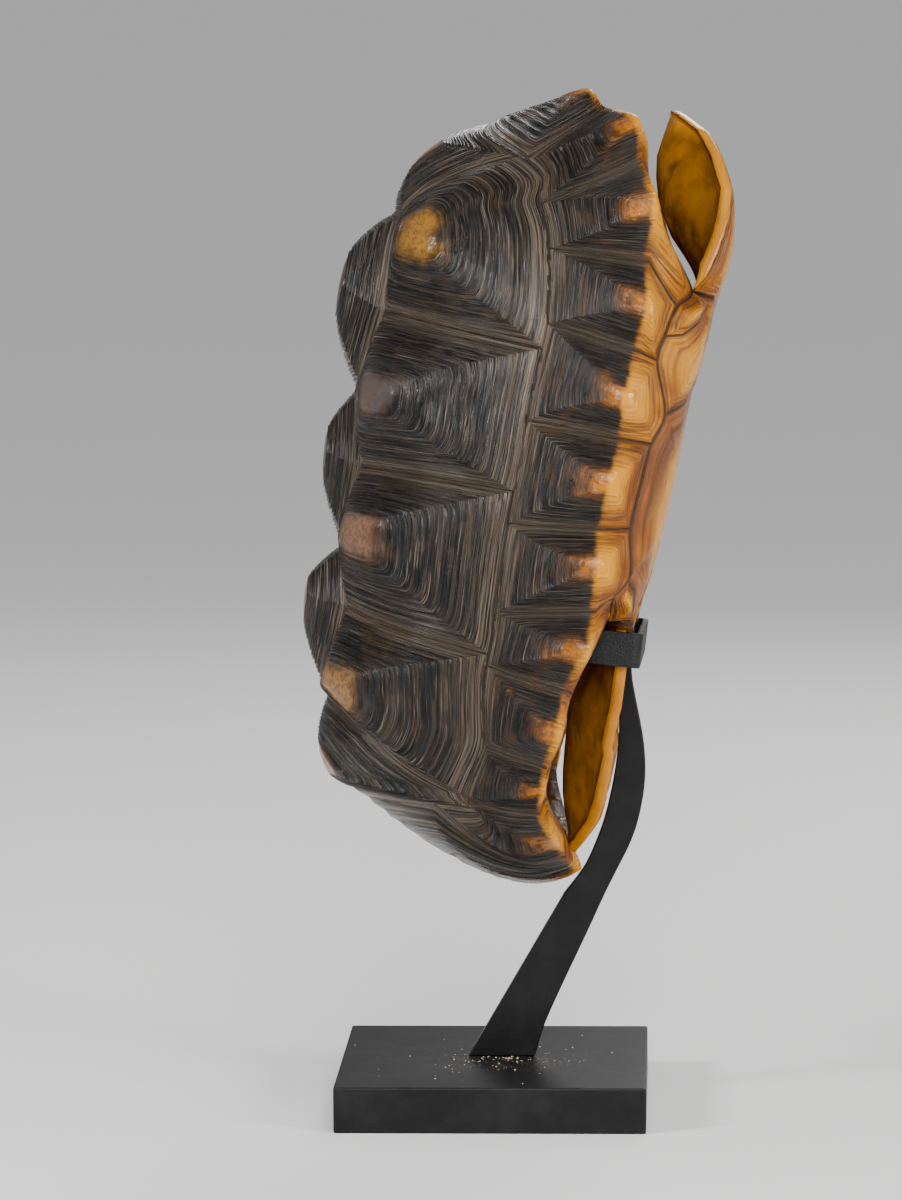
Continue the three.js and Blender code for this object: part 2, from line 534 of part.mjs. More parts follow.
function makeBand() {
  const inner = bandHalfSpan - bandThickness;
  const shape = new THREE.Shape();
  shape.moveTo(bandArm, bandHalfSpan);
  shape.lineTo(bandRadius, bandHalfSpan);
  shape.absarc(bandRadius, bandHalfSpan - bandRadius, bandRadius, Math.PI / 2, Math.PI, false);
  shape.lineTo(0, -bandHalfSpan + bandRadius);
  shape.absarc(bandRadius, -bandHalfSpan + bandRadius, bandRadius, Math.PI, 1.5 * Math.PI, false);
  shape.lineTo(bandArm, -bandHalfSpan);
  shape.lineTo(bandArm, -inner);
  shape.lineTo(bandRadius, -inner);
  shape.absarc(bandRadius, -bandHalfSpan + bandRadius, bandRadius - bandThickness, 1.5 * Math.PI, Math.PI, true);
  shape.lineTo(bandThickness, bandHalfSpan - bandRadius);
  shape.absarc(bandRadius, bandHalfSpan - bandRadius, bandRadius - bandThickness, Math.PI, Math.PI / 2, true);
  shape.lineTo(bandArm, inner);
  const geometry = new THREE.ExtrudeGeometry(shape, { depth: bandHeight, bevelEnabled: false, curveSegments: 6 });
  geometry.translate(0, 0, -bandHeight / 2);
  const mesh = new THREE.Mesh(geometry, leatherMaterial());
  mesh.name = 'band';
  // the outline's first axis runs to the shell's back, its height runs to the head
  const tilt = THREE.MathUtils.degToRad(bandPlace.tiltDeg);
  const toBack = new THREE.Vector3(-Math.sin(tilt), 0, Math.cos(tilt));
  const toHead = new THREE.Vector3(Math.cos(tilt), 0, Math.sin(tilt));
  const turned = new THREE.Matrix4().makeBasis(toBack, toHead.clone().cross(toBack), toHead)
    .setPosition(bandPlace.x, 0, bandPlace.z);
  turned.decompose(mesh.position, mesh.quaternion, mesh.scale);
  return mesh;
}

function makeUpright() {
  const shape = new THREE.Shape();
  shape.moveTo(uprightRight[0][0], uprightRight[0][1]);
  shape.splineThru(uprightRight.slice(1).map(([x, z]) => new THREE.Vector2(x, z)));
  shape.lineTo(uprightLeft[0][0], uprightLeft[0][1]);
  shape.splineThru(uprightLeft.slice(1, 10).map(([x, z]) => new THREE.Vector2(x, z)));
  uprightLeft.slice(10).forEach(([x, z]) => shape.lineTo(x, z));
  const geometry = new THREE.ExtrudeGeometry(shape, { depth: uprightThickness, bevelEnabled: false, curveSegments: 2 });
  geometry.translate(0, 0, -uprightThickness / 2);
  geometry.rotateX(Math.PI / 2);
  const mesh = new THREE.Mesh(geometry, steelMaterial());
  mesh.name = 'upright';
  return mesh;
}

function makeBase() {
  const inset = baseSide / 2 - baseBevel;
  const shape = new THREE.Shape([[-inset, -inset], [inset, -inset], [inset, inset], [-inset, inset]]
    .map(([x, y]) => new THREE.Vector2(x, y)));
  const geometry = new THREE.ExtrudeGeometry(shape, { depth: baseHeight - 2 * baseBevel, bevelEnabled: true,
    bevelThickness: baseBevel, bevelSize: baseBevel, bevelSegments: 1 });
  geometry.translate(0, 0, baseBevel);
  const mesh = new THREE.Mesh(geometry, baseMaterial());
  mesh.name = 'base';
  return mesh;
}

const resting = new THREE.Group();
resting.name = 'leaning_shell';
shellFrame().decompose(resting.position, resting.quaternion, resting.scale);
resting.add(makeShell(), makeBand());

const object = new THREE.Group();
object.name = 'turtle_shell_on_stand';
object.add(resting, makeUpright(), makeBase());

export default object;
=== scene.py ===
import math
from types import SimpleNamespace

import bmesh
import bpy
import numpy as np
from mathutils import Matrix, Vector


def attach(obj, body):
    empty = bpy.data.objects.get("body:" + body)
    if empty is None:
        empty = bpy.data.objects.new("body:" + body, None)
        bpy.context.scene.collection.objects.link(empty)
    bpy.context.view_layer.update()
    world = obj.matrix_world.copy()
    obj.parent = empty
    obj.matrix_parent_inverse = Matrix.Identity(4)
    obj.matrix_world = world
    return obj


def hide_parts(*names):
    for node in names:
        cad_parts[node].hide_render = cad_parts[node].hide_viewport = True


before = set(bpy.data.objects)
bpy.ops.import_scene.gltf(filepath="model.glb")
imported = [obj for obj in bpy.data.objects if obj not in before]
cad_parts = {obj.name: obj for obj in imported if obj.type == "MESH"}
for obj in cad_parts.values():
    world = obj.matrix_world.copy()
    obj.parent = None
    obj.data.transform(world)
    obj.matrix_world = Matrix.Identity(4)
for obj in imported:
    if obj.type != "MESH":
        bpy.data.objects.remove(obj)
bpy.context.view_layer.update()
mm = 0.001  # sizes are written in millimetres, lights and noise scales in metres


# short ways to add nodes, materials and pieces
def fill(tree, made, inputs):
    for key, value in inputs.items():
        if hasattr(value, "node"):
            tree.links.new(value, made.inputs[key])
        else:
            made.inputs[key].default_value = value


def node(tree, kind, inputs=None, **settings):
    made = tree.nodes.new("ShaderNode" + kind)
    for key, value in settings.items():
        setattr(made, key, value)
    fill(tree, made, inputs or {})
    return made


def blend(tree, factor, low, high):
    made = node(tree, "Mix", {0: factor, 6: low, 7: high}, data_type="RGBA", clamp_factor=True)
    return made.outputs[2]


def maths(tree, how, first, second=0.0, third=0.0, clamp=False):
    inputs = {0: first, 1: second, 2: third}
    return node(tree, "Math", inputs, operation=how, use_clamp=clamp).outputs[0]


def times(tree, first, second):
    return maths(tree, "MULTIPLY", first, second)


def swing(tree, value, amount):
    return maths(tree, "MULTIPLY_ADD", value, amount, -amount / 2)  # noise moved to lie around zero


def ramp(tree, value, low, high):
    # rises from low to high, or falls when low is the greater
    made = node(tree, "MapRange", {"Value": value, "From Min": low, "From Max": high}, clamp=True,
                interpolation_type="SMOOTHSTEP")
    return made.outputs["Result"]


def noise(tree, place, scale, detail=3.0, rough=0.55):
    inputs = {"Vector": place, "Scale": scale, "Detail": detail, "Roughness": rough}
    return node(tree, "TexNoise", inputs).outputs["Fac"]


def newMaterial(name):
    made = bpy.data.materials.new(name)
    made.use_nodes = True
    tree = made.node_tree
    tree.nodes.clear()
    out = node(tree, "OutputMaterial")
    shader = node(tree, "BsdfPrincipled")
    tree.links.new(shader.outputs[0], out.inputs[0])
    return made, tree, shader


def bumped(tree, height, strength, distance):
    inputs = {"Height": height, "Strength": strength, "Distance": distance}
    return node(tree, "Bump", inputs).outputs["Normal"]


def placed(name, data):
    made = bpy.data.objects.new(name, data)
    bpy.context.scene.collection.objects.link(made)
    return made


def pieceFrom(bm, name, material, smooth=True):
    mesh = bpy.data.meshes.new(name)
    bm.to_mesh(mesh)
    bm.free()
    mesh.materials.append(material)
    for polygon in mesh.polygons:
        polygon.use_smooth = smooth
    return placed(name, mesh)


# the shell's own axes: x to the head, y to its left, z to its back
pose = {"origin": (70.2, 4.5, 245.4), "lean": 11.5, "tip": 4.0, "turn": -1.5}


def shellAxes():
    lean, tip, turn = (math.radians(pose[k]) for k in ("lean", "tip", "turn"))
    upright = Vector((math.sin(lean), 0, math.cos(lean)))
    depth = Vector((0, 1, 0))
    head = upright * math.cos(tip) + depth * math.sin(tip)
    level = depth * math.cos(tip) - upright * math.sin(tip)
    back = upright.cross(depth) * math.cos(turn) - level * math.sin(turn)
    return head, back.cross(head), back


head, left, back = shellAxes()
axes = np.array([head, left, back])


def toWorld(points):
    return (np.array(pose["origin"]) + np.asarray(points) @ axes) * mm


# surfaces of the shell, in its own axes
dome = {
    "halfWidth": 93, "halfLength": 150, "middle": -9, "planPower": 3, "power": 2.05, "rimLevel": 24,
    "spread": 60,
    "crown": [
        [-147, 95], [-140, 103], [-128, 111], [-110, 117], [-80, 120.5], [-49, 123.5], [-20, 127],
        [12, 129.5], [45, 130.5], [82, 128], [98, 120], [112, 108.5], [125, 96], [134, 83], [139, 76],
    ],
}
tailSeam = 12  # seams of the edge scutes are counted from the head's midline, 0, to the tail's
# rows give that count, then x, y and z
margin = {
    "upper": [
        [0, 124, 0], [1, 110, 58], [2, 94, 73], [3, 78, 81], [4, 50, 87], [5, 13, 88.5], [6, -26, 88.5],
        [7, -60, 87.5], [8, -80, 85.5], [9, -110, 79.5], [10, -132, 67], [11, -138, 58], [12, -144, 0],
    ],
    "bend": [
        [0, 131, 0, 88], [1, 124, 45, 66], [2, 106, 70, 51], [3, 80, 84, 42], [4, 49, 92, 41],
        [5, 14, 94, 41], [6, -24, 94, 41], [7, -56, 93, 40], [8, -82, 92, 42], [9, -113, 84, 42],
        [10, -137, 67, 38], [11, -166, 36, 30], [12, -178, 0, 30],
    ],
    "rim": [
        [0, 136, 0, 74], [0.5, 140.5, 16, 62], [1, 136.5, 31, 53], [1.5, 131.5, 50, 39.5],
        [2, 117.5, 65, 33.5], [2.5, 101, 75, 26], [3, 80.5, 81, 23.5], [3.5, 64, 86, 20.5],
        [4, 46.5, 88.5, 20.5], [4.5, 28, 91.5, 22], [5, 13.5, 90.5, 19.5], [5.5, -3.5, 92.5, 21],
        [6, -21, 91.5, 20.5], [6.5, -34, 93.5, 19.5], [7, -51.5, 93, 17], [7.5, -66, 95.5, 17.5],
        [8, -83, 93.5, 21.5], [8.5, -100, 89, 22.3], [9, -114, 82, 23.3], [9.5, -122, 75, 24.5],
        [10, -133, 60, 23], [10.5, -143, 42, 16.5], [11, -150.5, 20, 10.5], [12, -155.7, 0, 6.4],
    ],
    "lip": [
        [0, 127, 0, 70], [1, 127, 28, 48], [2, 109, 56, 30], [2.5, 92, 66, 20], [2.86, 72.5, 68, 6],
        [3, 66, 81, 10], [3.5, 54, 84, 12.5], [4, 44.5, 85, 13.6], [4.68, 25, 83, 6.5], [5, 13.5, 84, 9.5],
        [5.5, -3, 84, 10.5], [6, -19, 84, 11], [6.6, -37, 83.5, 7.5], [7, -46, 84, 12], [7.35, -56, 67, 13],
        [8, -84, 81, 20], [8.5, -98, 78, 21], [9, -111, 72, 22.5], [9.5, -119, 63, 23.5], [10, -127, 51, 22],
        [10.5, -135, 34, 17.5], [11, -141, 16, 13.5], [12, -146, 0, 12],
    ],
}
armpit, groin = 2.86, 7.35  # counts where the bridge begins and ends
# counts at which the seams of the back and of the belly meet the edge scutes
meets = {"first": 0.92, "costals": (4.27, 5.68, 7.81), "last": 10,
         "axillary": 3.5, "pectoral": 4.68, "inguinal": 6.6}
belly = {
    # x and height of the plate's midline, then of the pads on the inside of its lobes
    "plate": [
        [140.5, 24.3], [136, 16.2], [133.7, 12], [125.6, 5.5], [113, -1.5], [102, -4], [92, -5], [76, -3.8],
        [50, -2], [32, -0.8], [0, -0.3], [-40, 0.8], [-56, 2.3], [-72, 2.3], [-88, 1.2], [-100, 0.8],
        [-120, 0.8], [-134, 1.5], [-143, 5], [-149, 8.2],
    ],
    "pad": [
        [140.5, 27], [139, 28], [132.4, 29.4], [118.4, 30.5], [109, 27.3], [100, 25], [97.6, 22], [92, 18.5],
        [86, 12], [78, 5], [70, 3.2], [-62, 10], [-72, 16], [-84, 21.3], [-95, 22.2], [-106, 20.8],
        [-115, 20.2], [-122, 19], [-132, 16.8], [-138, 14.3], [-145, 11.8], [-149, 11],
    ],
    # free edges of the two lobes, from the midline to the armpit and from the groin to the midline
    "front": [
        [140.5, 0, 24.3], [139, 10, 21.5], [136, 20, 16.2], [133.7, 28, 12], [125.6, 38, 5.5],
        [113, 49, -1.2], [102, 54, -2], [96, 56, -1.6], [86, 58.5, 0], [79, 61, 2], [72.5, 68, 6],
    ],
    "rear": [
        [-56, 67, 13], [-55.5, 61, 9], [-57.5, 57.3, 5.5], [-63, 56, 3.3], [-69, 55.5, 2.5], [-76.4, 54.5, 2],
        [-87.5, 50.5, 1.3], [-99.8, 46.5, 1.5], [-103, 44, 1.6], [-107, 43.5, 0.3], [-114, 40, 0.3],
        [-125.7, 32, 0.5], [-134, 24, 1.5], [-143, 15, 5], [-149, 8, 8], [-146, 0, 8],
    ],
    "gularBreak": 3, "analBreak": 8,  # rows of the lobes' edges where the first and the last seam end
    "hollow": (-58, 70, 50, 6.2),  # its middle, half length, half width and depth
    "wing": (58, 26, 10),  # where the plate turns up to the bridge, over this reach, by this rise
    "thickness": 4.5, "edge": 4.5, "wall": 5,
}


def through(rows):
    # a smooth curve through rows of a place and its values
    table = np.array(sorted(rows), float)
    places, values = table[:, 0], table[:, 1:]
    slopes = np.empty_like(values)
    slopes[1:-1] = (values[2:] - values[:-2]) / (places[2:] - places[:-2])[:, None]
    slopes[0] = (values[1] - values[0]) / (places[1] - places[0])
    slopes[-1] = (values[-1] - values[-2]) / (places[-1] - places[-2])

    def at(place):
        spot = np.clip(np.asarray(place, float), places[0], places[-1])
        i = np.clip(np.searchsorted(places, spot, side="right") - 1, 0, len(places) - 2)
        span = (places[i + 1] - places[i])[..., None]
        t = (spot - places[i])[..., None] / span
        return ((1 + 2 * t) * (1 - t) ** 2 * values[i] + t * (1 - t) ** 2 * span * slopes[i]
                + t * t * (3 - 2 * t) * values[i + 1] + t * t * (t - 1) * span * slopes[i + 1])

    return at


crownAt = through(dome["crown"])
upperAt, bendAt, rimAt, lipAt = (through(margin[k]) for k in ("upper", "bend", "rim", "lip"))
plateAt, padAt = through(belly["plate"]), through(belly["pad"])
sideRows = []
for row in belly["rear"][1:-1]:
    if not sideRows or row[0] < sideRows[-1][0]:
        sideRows.append([row[0], row[1]])
lobeHalfAt = through(sideRows + [[0, 68]] + [[r[0], r[1]] for r in belly["front"]])


def halfWidthAt(x):
    share = np.maximum(1 - np.abs((x - dome["middle"]) / dome["halfLength"]) ** dome["planPower"], 0.001)
    return dome["halfWidth"] * share ** (1 / dome["planPower"])


def domeSpot(x, y):
    x, y = np.asarray(x, float), np.asarray(y, float)
    share = np.minimum(np.abs(y) / halfWidthAt(x), 0.9995)
    return np.stack([x, np.sign(y) * np.arcsin(share ** (dome["power"] / 2)) * dome["spread"]], -1)


def domePoint(q):
    x, a = q[..., 0], q[..., 1] / dome["spread"]
    y = halfWidthAt(x) * np.sign(a) * np.abs(np.sin(a)) ** (2 / dome["power"])
    z = dome["rimLevel"] + (crownAt(x)[..., 0] - dome["rimLevel"]) * np.abs(np.cos(a)) ** (2 / dome["power"])
    return np.stack([x, y, z], -1)


def marginPoint(q):
    t, w = q[..., 0], q[..., 1]
    right = t > tailSeam
    along = np.where(right, 2 * tailSeam - t, t)
    upper = upperAt(along)
    top = domePoint(domeSpot(upper[..., 0], upper[..., 1]))
    rim = rimAt(along)
    c = np.clip(w, 0, 1)[..., None]
    above = top * (1 - c) ** 2 + bendAt(along) * 2 * c * (1 - c) + rim * c * c
    d = np.clip(w - 1, 0, 1)[..., None]
    point = np.where(w[..., None] <= 1, above, rim * (1 - d) + lipAt(along) * d)
    point[..., 1] *= np.where(right, -1, 1)
    return point


def bellyPoint(q):
    x, y = q[..., 0], q[..., 1]
    (start, reach, rise), (middle, long, wide, depth) = belly["wing"], belly["hollow"]
    side = np.maximum(np.abs(y) - start, 0) / reach
    hollow = np.maximum(1 - ((x - middle) / long) ** 2, 0) * np.maximum(1 - (y / wide) ** 2, 0)
    z = plateAt(x)[..., 0] + rise * side * side + depth * hollow
    return np.stack([x, y, z], -1)


def plateInside(x, y):
    x, y = np.asarray(x, float), np.abs(np.asarray(y, float))
    floor = bellyPoint(np.stack([x, y], -1))[..., 2] + belly["thickness"]
    share = np.minimum(y / lobeHalfAt(x)[..., 0], 1)
    return np.maximum(floor, floor + (padAt(x)[..., 0] - floor) * np.cos(share * np.pi / 2) ** 2)


def normalOf(surface, q, du, dv):
    du, dv = np.array([du, 0.0]), np.array([0.0, dv])
    cross = np.cross(surface(q + du) - surface(q - du), surface(q + dv) - surface(q - dv))
    return cross / np.maximum(np.linalg.norm(cross, axis=-1, keepdims=True), 1e-9)


def marginNormal(q):
    t, w = np.clip(q[..., 0], 0.1, 2 * tailSeam - 0.1), q[..., 1]
    above = -normalOf(marginPoint, np.stack([t, np.clip(w, 0.1, 0.9)], -1), 0.08, 0.09)
    below = -normalOf(marginPoint, np.stack([t, np.clip(w, 1.1, 1.9)], -1), 0.08, 0.09)
    share = np.clip((w - 0.8) / 0.4, 0, 1)[..., None]
    mixed = above * (1 - share) + below * share
    return mixed / np.linalg.norm(mixed, axis=-1, keepdims=True)


kinds = {
    "dome": (domePoint, lambda q: normalOf(domePoint, q, 2, 2)),
    "margin": (marginPoint, marginNormal),
    "belly": (bellyPoint, lambda q: -normalOf(bellyPoint, q, 2, 2)),
}

# samples of the seams, shared by the scutes on both sides of them
relief = {"seam": 1.8, "bellySeam": 0.5, "step": 2.8, "seed": 7}
upperBreaks = sorted([*range(tailSeam + 1), meets["first"], *meets["costals"]])
bellyMeets = [meets[name] for name in ("axillary", "pectoral", "inguinal")]
lipBreaks = sorted([*range(tailSeam + 1), armpit, groin, *bellyMeets])
dice = np.random.default_rng(relief["seed"])


def upperPoint(t):
    spot = upperAt(t)
    return domePoint(domeSpot(spot[..., 0], spot[..., 1]))


def alongBreaks(breaks, pointAt):
    places = [breaks[0]]
    for a, b in zip(breaks, breaks[1:]):
        count = max(1, round(float(np.linalg.norm(pointAt(a) - pointAt(b))) / relief["step"]))
        places += [a + (b - a) * k / count for k in range(1, count + 1)]
    return np.array(places)


upperPlaces = alongBreaks(upperBreaks, upperPoint)
lipPlaces = alongBreaks(lipBreaks, lipAt)


def sunk(kind, spots, depth):
    point, normal = kinds[kind]
    return point(spots) - normal(spots) * np.asarray(depth, float)[..., None]


def onSide(t, side):
    return 2 * tailSeam - t if side < 0 else t


def upperRun(side, start, end):
    t = upperPlaces[(upperPlaces > min(start, end) - 1e-6) & (upperPlaces < max(start, end) + 1e-6)]
    spot = upperAt(t)
    q = domeSpot(spot[:, 0], side * spot[:, 1])
    point = sunk("dome", q, relief["seam"])
    made = {"point": point, "dome": q, "margin": np.stack([onSide(t, side), t * 0], -1)}
    return made if start < end else backwards(made)


def lipRun(side, start, end):
    t = lipPlaces[(lipPlaces > min(start, end) - 1e-6) & (lipPlaces < max(start, end) + 1e-6)]
    q = np.stack([onSide(t, side), t * 0 + 2], -1)
    point = marginPoint(q)
    made = {"point": point, "margin": q, "belly": point[:, :2].copy()}
    return made if start < end else backwards(made)


def backwards(made):
    return {key: value[::-1] for key, value in made.items()}


def crossRun(side, t):
    w = np.concatenate([np.linspace(0, 1, 12), np.linspace(1, 2, 7)[1:]])
    q = np.stack([w * 0 + onSide(t, side), w], -1)
    point = sunk("margin", q, np.interp(w, [0, 0.9, 1, 2], [relief["seam"], relief["seam"], 0.8, 0.6]))
    if t == 0:
        point[1:, 1] = 0
    point[0] = upperRun(side, t, t)["point"][0]
    point[-1] = marginPoint(q[-1:])[0]
    return {"point": point, "margin": q}


def stepped(corners):
    made = [np.array(corners[0], float)[None]]
    for a, b in zip(corners, corners[1:]):
        a, b = np.array(a, float), np.array(b, float)
        count = max(1, round(float(np.linalg.norm(b - a)) / relief["step"]))
        made.append(a + (b - a) * (np.arange(1, count + 1) / count)[:, None])
    return np.concatenate(made)


def drawn(kind, toSpot, corners, depth):
    flat = stepped(corners)
    q = toSpot(flat[:, 0], flat[:, 1])
    return {"point": sunk(kind, q, depth), kind: q}


def onDome(side, corners):
    return drawn("dome", domeSpot, [(x, side * y) for x, y in corners], relief["seam"])


def onBelly(side, corners):
    mirrored = [(x, side * y) for x, y in corners]
    return drawn("belly", lambda x, y: np.stack([x, y], -1), mirrored, relief["bellySeam"])


def edgeRun(side, rows):
    point = stepped(rows) * np.array([1, side, 1])
    return {"point": point, "belly": point[:, :2].copy()}


# one closed skin: vertices with their masks, tints and flows, and its faces
skin = {"points": [], "masks": [], "tints": [], "flows": [], "faces": [], "count": 0}
plainTint = (0.5, 0.3, 0.1, 1.0)  # where no scute gives its own


def stacked(shape, *values):
    return np.stack([value * np.ones(shape) for value in values], -1)


def addRows(rows, masks, tint=plainTint, flows=None):
    shape = rows.shape[:2]
    ids = skin["count"] + np.arange(shape[0] * shape[1]).reshape(shape)
    if flows is None:
        turn = np.arange(shape[1]) * 0.06
        flows = stacked(shape, masks[..., 1], np.cos(turn), np.sin(turn), 0.5)
    tints = np.tile(tint, (*shape, 1))
    for name, values in (("points", rows), ("masks", masks), ("tints", tints), ("flows", flows)):
        skin[name].append(values.reshape(ids.size, -1))
    skin["count"] += ids.size
    return ids


def addStrips(ids, closed, ordered):
    if closed:
        ids = np.concatenate([ids, ids[:, :1]], 1)
    a, b, c, d = ids[:-1, :-1], ids[:-1, 1:], ids[1:, 1:], ids[1:, :-1]
    quads = np.stack([a, b, c, d] if ordered else [d, c, b, a], -1).reshape(-1, 4)
    skin["faces"].append(quads)


def waves(count, length, knots):
    # smooth seeded unevenness along each ring, closed on itself
    values = dice.uniform(0, 1, (count, knots))
    place = np.arange(length) / length * knots
    i = place.astype(int)
    t = place - i
    t = t * t * (3 - 2 * t)
    return values[:, i % knots] * (1 - t) + values[:, (i + 1) % knots] * t


def rounded(spots, reach):
    # an outline with its corners worn round, over reach samples each way
    steps = np.arange(-3 * reach, 3 * reach + 1)
    weights = np.exp(-0.5 * (steps / reach) ** 2)
    return sum(w * np.roll(spots, k, 0) for k, w in zip(steps, weights)) / weights.sum()


# how a scute grew: its rings count from the seam, 0, to the edge of its old centre, 1
growth = {
    "widths": (0.7, 1.35), "widening": (0.75, 1.25), "crest": 0.42, "depths": (0.55, 1.0), "lastDepth": 0.8,
    "knots": 15, "uneven": 0.25, "wander": 0.35, "driftKnots": 9, "drift": 0.035, "swell": 1.4, "round": 0.55,
    "seamGroove": 0.8, "rimGlow": 0.45, "flatten": 0.15,
    "centre": ((0.7, 1.03, 0.68), (0.4, 1.06, 0.9), (0.12, 1.08, 1.0)),  # share of its radius, rise and glow
}


def growthRings(ridges):
    widths = dice.uniform(*growth["widths"], ridges) * np.linspace(*growth["widening"], ridges)
    edges = np.concatenate([[0], np.cumsum(widths)]) / widths.sum()
    depths = dice.uniform(*growth["depths"], ridges)
    depths[-1] *= growth["lastDepth"]
    crests = edges[:-1] + growth["crest"] * np.diff(edges)
    return np.stack([crests, edges[1:]], 1).reshape(-1, 1), np.stack([depths * 0, depths], 1).reshape(-1, 1)


def scute(kind, runs, shape):
    points = np.concatenate([run["point"] for run in runs])
    spots = np.concatenate([run[kind] for run in runs])
    keep = np.linalg.norm(points - np.roll(points, 1, 0), axis=1) > 1e-3
    points, spots = points[keep], spots[keep]
    length = len(points)
    surface, normal = kinds[kind]
    centre = np.array(shape["centre"], float)
    soft = rounded(spots, shape["soft"])
    old = centre + shape["areola"] * (soft - spots.mean(0))
    offset = points - sunk(kind, spots, shape["sink"])

    s, cut = growthRings(shape["ridges"])
    cut = cut * np.ones((1, length))
    uneven = waves(len(s), length, growth["knots"])
    drift = (waves(1, length, growth["driftKnots"]) - 0.5) * growth["drift"] * np.sin(np.pi * s)
    drift = drift + (uneven - 0.5) * growth["wander"] / shape["ridges"] * (cut > 0)
    ring = np.clip(s + drift * (s < 0.999), 0.002, 1)
    groove = cut * (0.35 + 0.65 * uneven)
    lift = (1 - (1 - ring) ** growth["swell"]) * shape["height"] - shape["sink"] * (1 - ring)
    lift = lift - groove * shape["cut"] * (0.65 + 0.35 * (1 - s))
    lift = lift - growth["uneven"] * (1 - uneven) * (cut == 0)
    share = (growth["round"] * ring)[..., None]
    outline = spots[None] * (1 - share) + soft[None] * share
    here = outline * (1 - ring[..., None]) + old[None] * ring[..., None]
    rows = surface(here) + normal(here) * lift[..., None] + offset[None] * ((1 - s) ** 2)[..., None]

    shares, rises, glows = zip(*growth["centre"])
    middle = np.array([centre + (old - centre) * share for share in shares])
    heights = np.array(rises)[:, None, None] * shape["height"] - growth["flatten"]
    rows = np.concatenate([points[None], rows, surface(middle) + normal(middle) * heights])
    rest = np.zeros((len(shares), length))
    ring = np.concatenate([np.zeros((1, length)), ring, rest + 1])
    groove = np.concatenate([np.full((1, length), growth["seamGroove"]), groove, rest])
    under = 1.0 if kind == "belly" else 0.0  # amber or dark, changing at the rim
    if kind == "margin":
        under = np.clip((np.concatenate([spots[None], here, middle])[..., 1] - 0.88) / 0.14, 0, 1)
    outer = growth["rimGlow"] * np.clip((s - shape["glow"]) / (1 - shape["glow"]), 0, 1)
    areola = np.concatenate([[[0]], outer, np.array(glows)[:, None]])
    tint = np.array([*shape["tint"], dice.uniform(0, 1) * 0.9])  # the last number tells scutes apart
    turn = 2 * np.pi * np.arange(length) / length
    flows = stacked(ring.shape, ring, np.cos(turn), np.sin(turn), tint[3])
    ids = addRows(rows, stacked(ring.shape, groove, ring, under, areola), tint, flows)
    area = np.cross(points - points[0], np.roll(points, -1, 0) - points[0]).sum(0)
    ordered = float(area @ normal(centre[None])[0]) > 0
    addStrips(ids, True, ordered)
    skin["faces"].append((ids[-1] if ordered else ids[-1][::-1])[None])


# the scutes of the back, their places on the dome's plan as x and y
amber, orange, tan = (0.25, 0.115, 0.014), (0.24, 0.09, 0.014), (0.2, 0.1, 0.035)
grey, pink = (0.055, 0.048, 0.047), (0.14, 0.076, 0.05)
backScutes = {
    "rings": {"ridges": 17, "cut": 1.6, "soft": 3, "glow": 0.8, "sink": relief["seam"]},
    "vertebrals": [
        {"back": (80.6, 28), "centre": (105, 0), "height": 4, "areola": 0.3, "tint": orange},
        {"corner": (42.8, 38), "back": (11.3, 27), "centre": (50, 0), "height": 11, "areola": 0.32,
         "tint": grey},
        {"corner": (-17.6, 38), "back": (-49.2, 27), "centre": (-15, 0), "height": 7.5, "areola": 0.32,
         "tint": grey},
        {"corner": (-71.3, 36), "back": (-107.5, 18), "centre": (-72, 0), "height": 10, "areola": 0.3,
         "tint": pink},
        {"centre": (-132, 0), "height": 4, "areola": 0.3, "tint": orange},
    ],
    "costals": [
        {"spot": (72, 56), "height": 8, "tint": amber}, {"spot": (11, 56), "height": 9, "tint": grey},
        {"spot": (-42, 55), "height": 9, "tint": pink}, {"spot": (-99, 46), "height": 7, "tint": tan},
    ],
    "costalAreola": 0.26,
    "firstBends": [(101, 44), (91, 34)], "lastBends": [(-110, 38), (-116, 54)],  # of the first and last seam
}
edge = {"ridges": 10, "cut": 1.2, "height": 1.6, "areola": 0.2, "sink": 1.2, "tint": (0.36, 0.115, 0.006),
        "soft": 2, "glow": 0.68}
plates = {"ridges": 6, "cut": 0.28, "tint": (0.6, 0.25, 0.04), "soft": 3, "glow": 0.9, "areola": 0.3,
          "sink": relief["bellySeam"]}


def across(spot, bow):
    # a seam from the left over the midline to the right
    return onDome(1, [spot, (spot[0] + bow, 0), (spot[0], -spot[1])])


def halfWay(a, b):
    return (a[0] + b[0]) / 2, (a[1] + b[1]) / 2 + 1


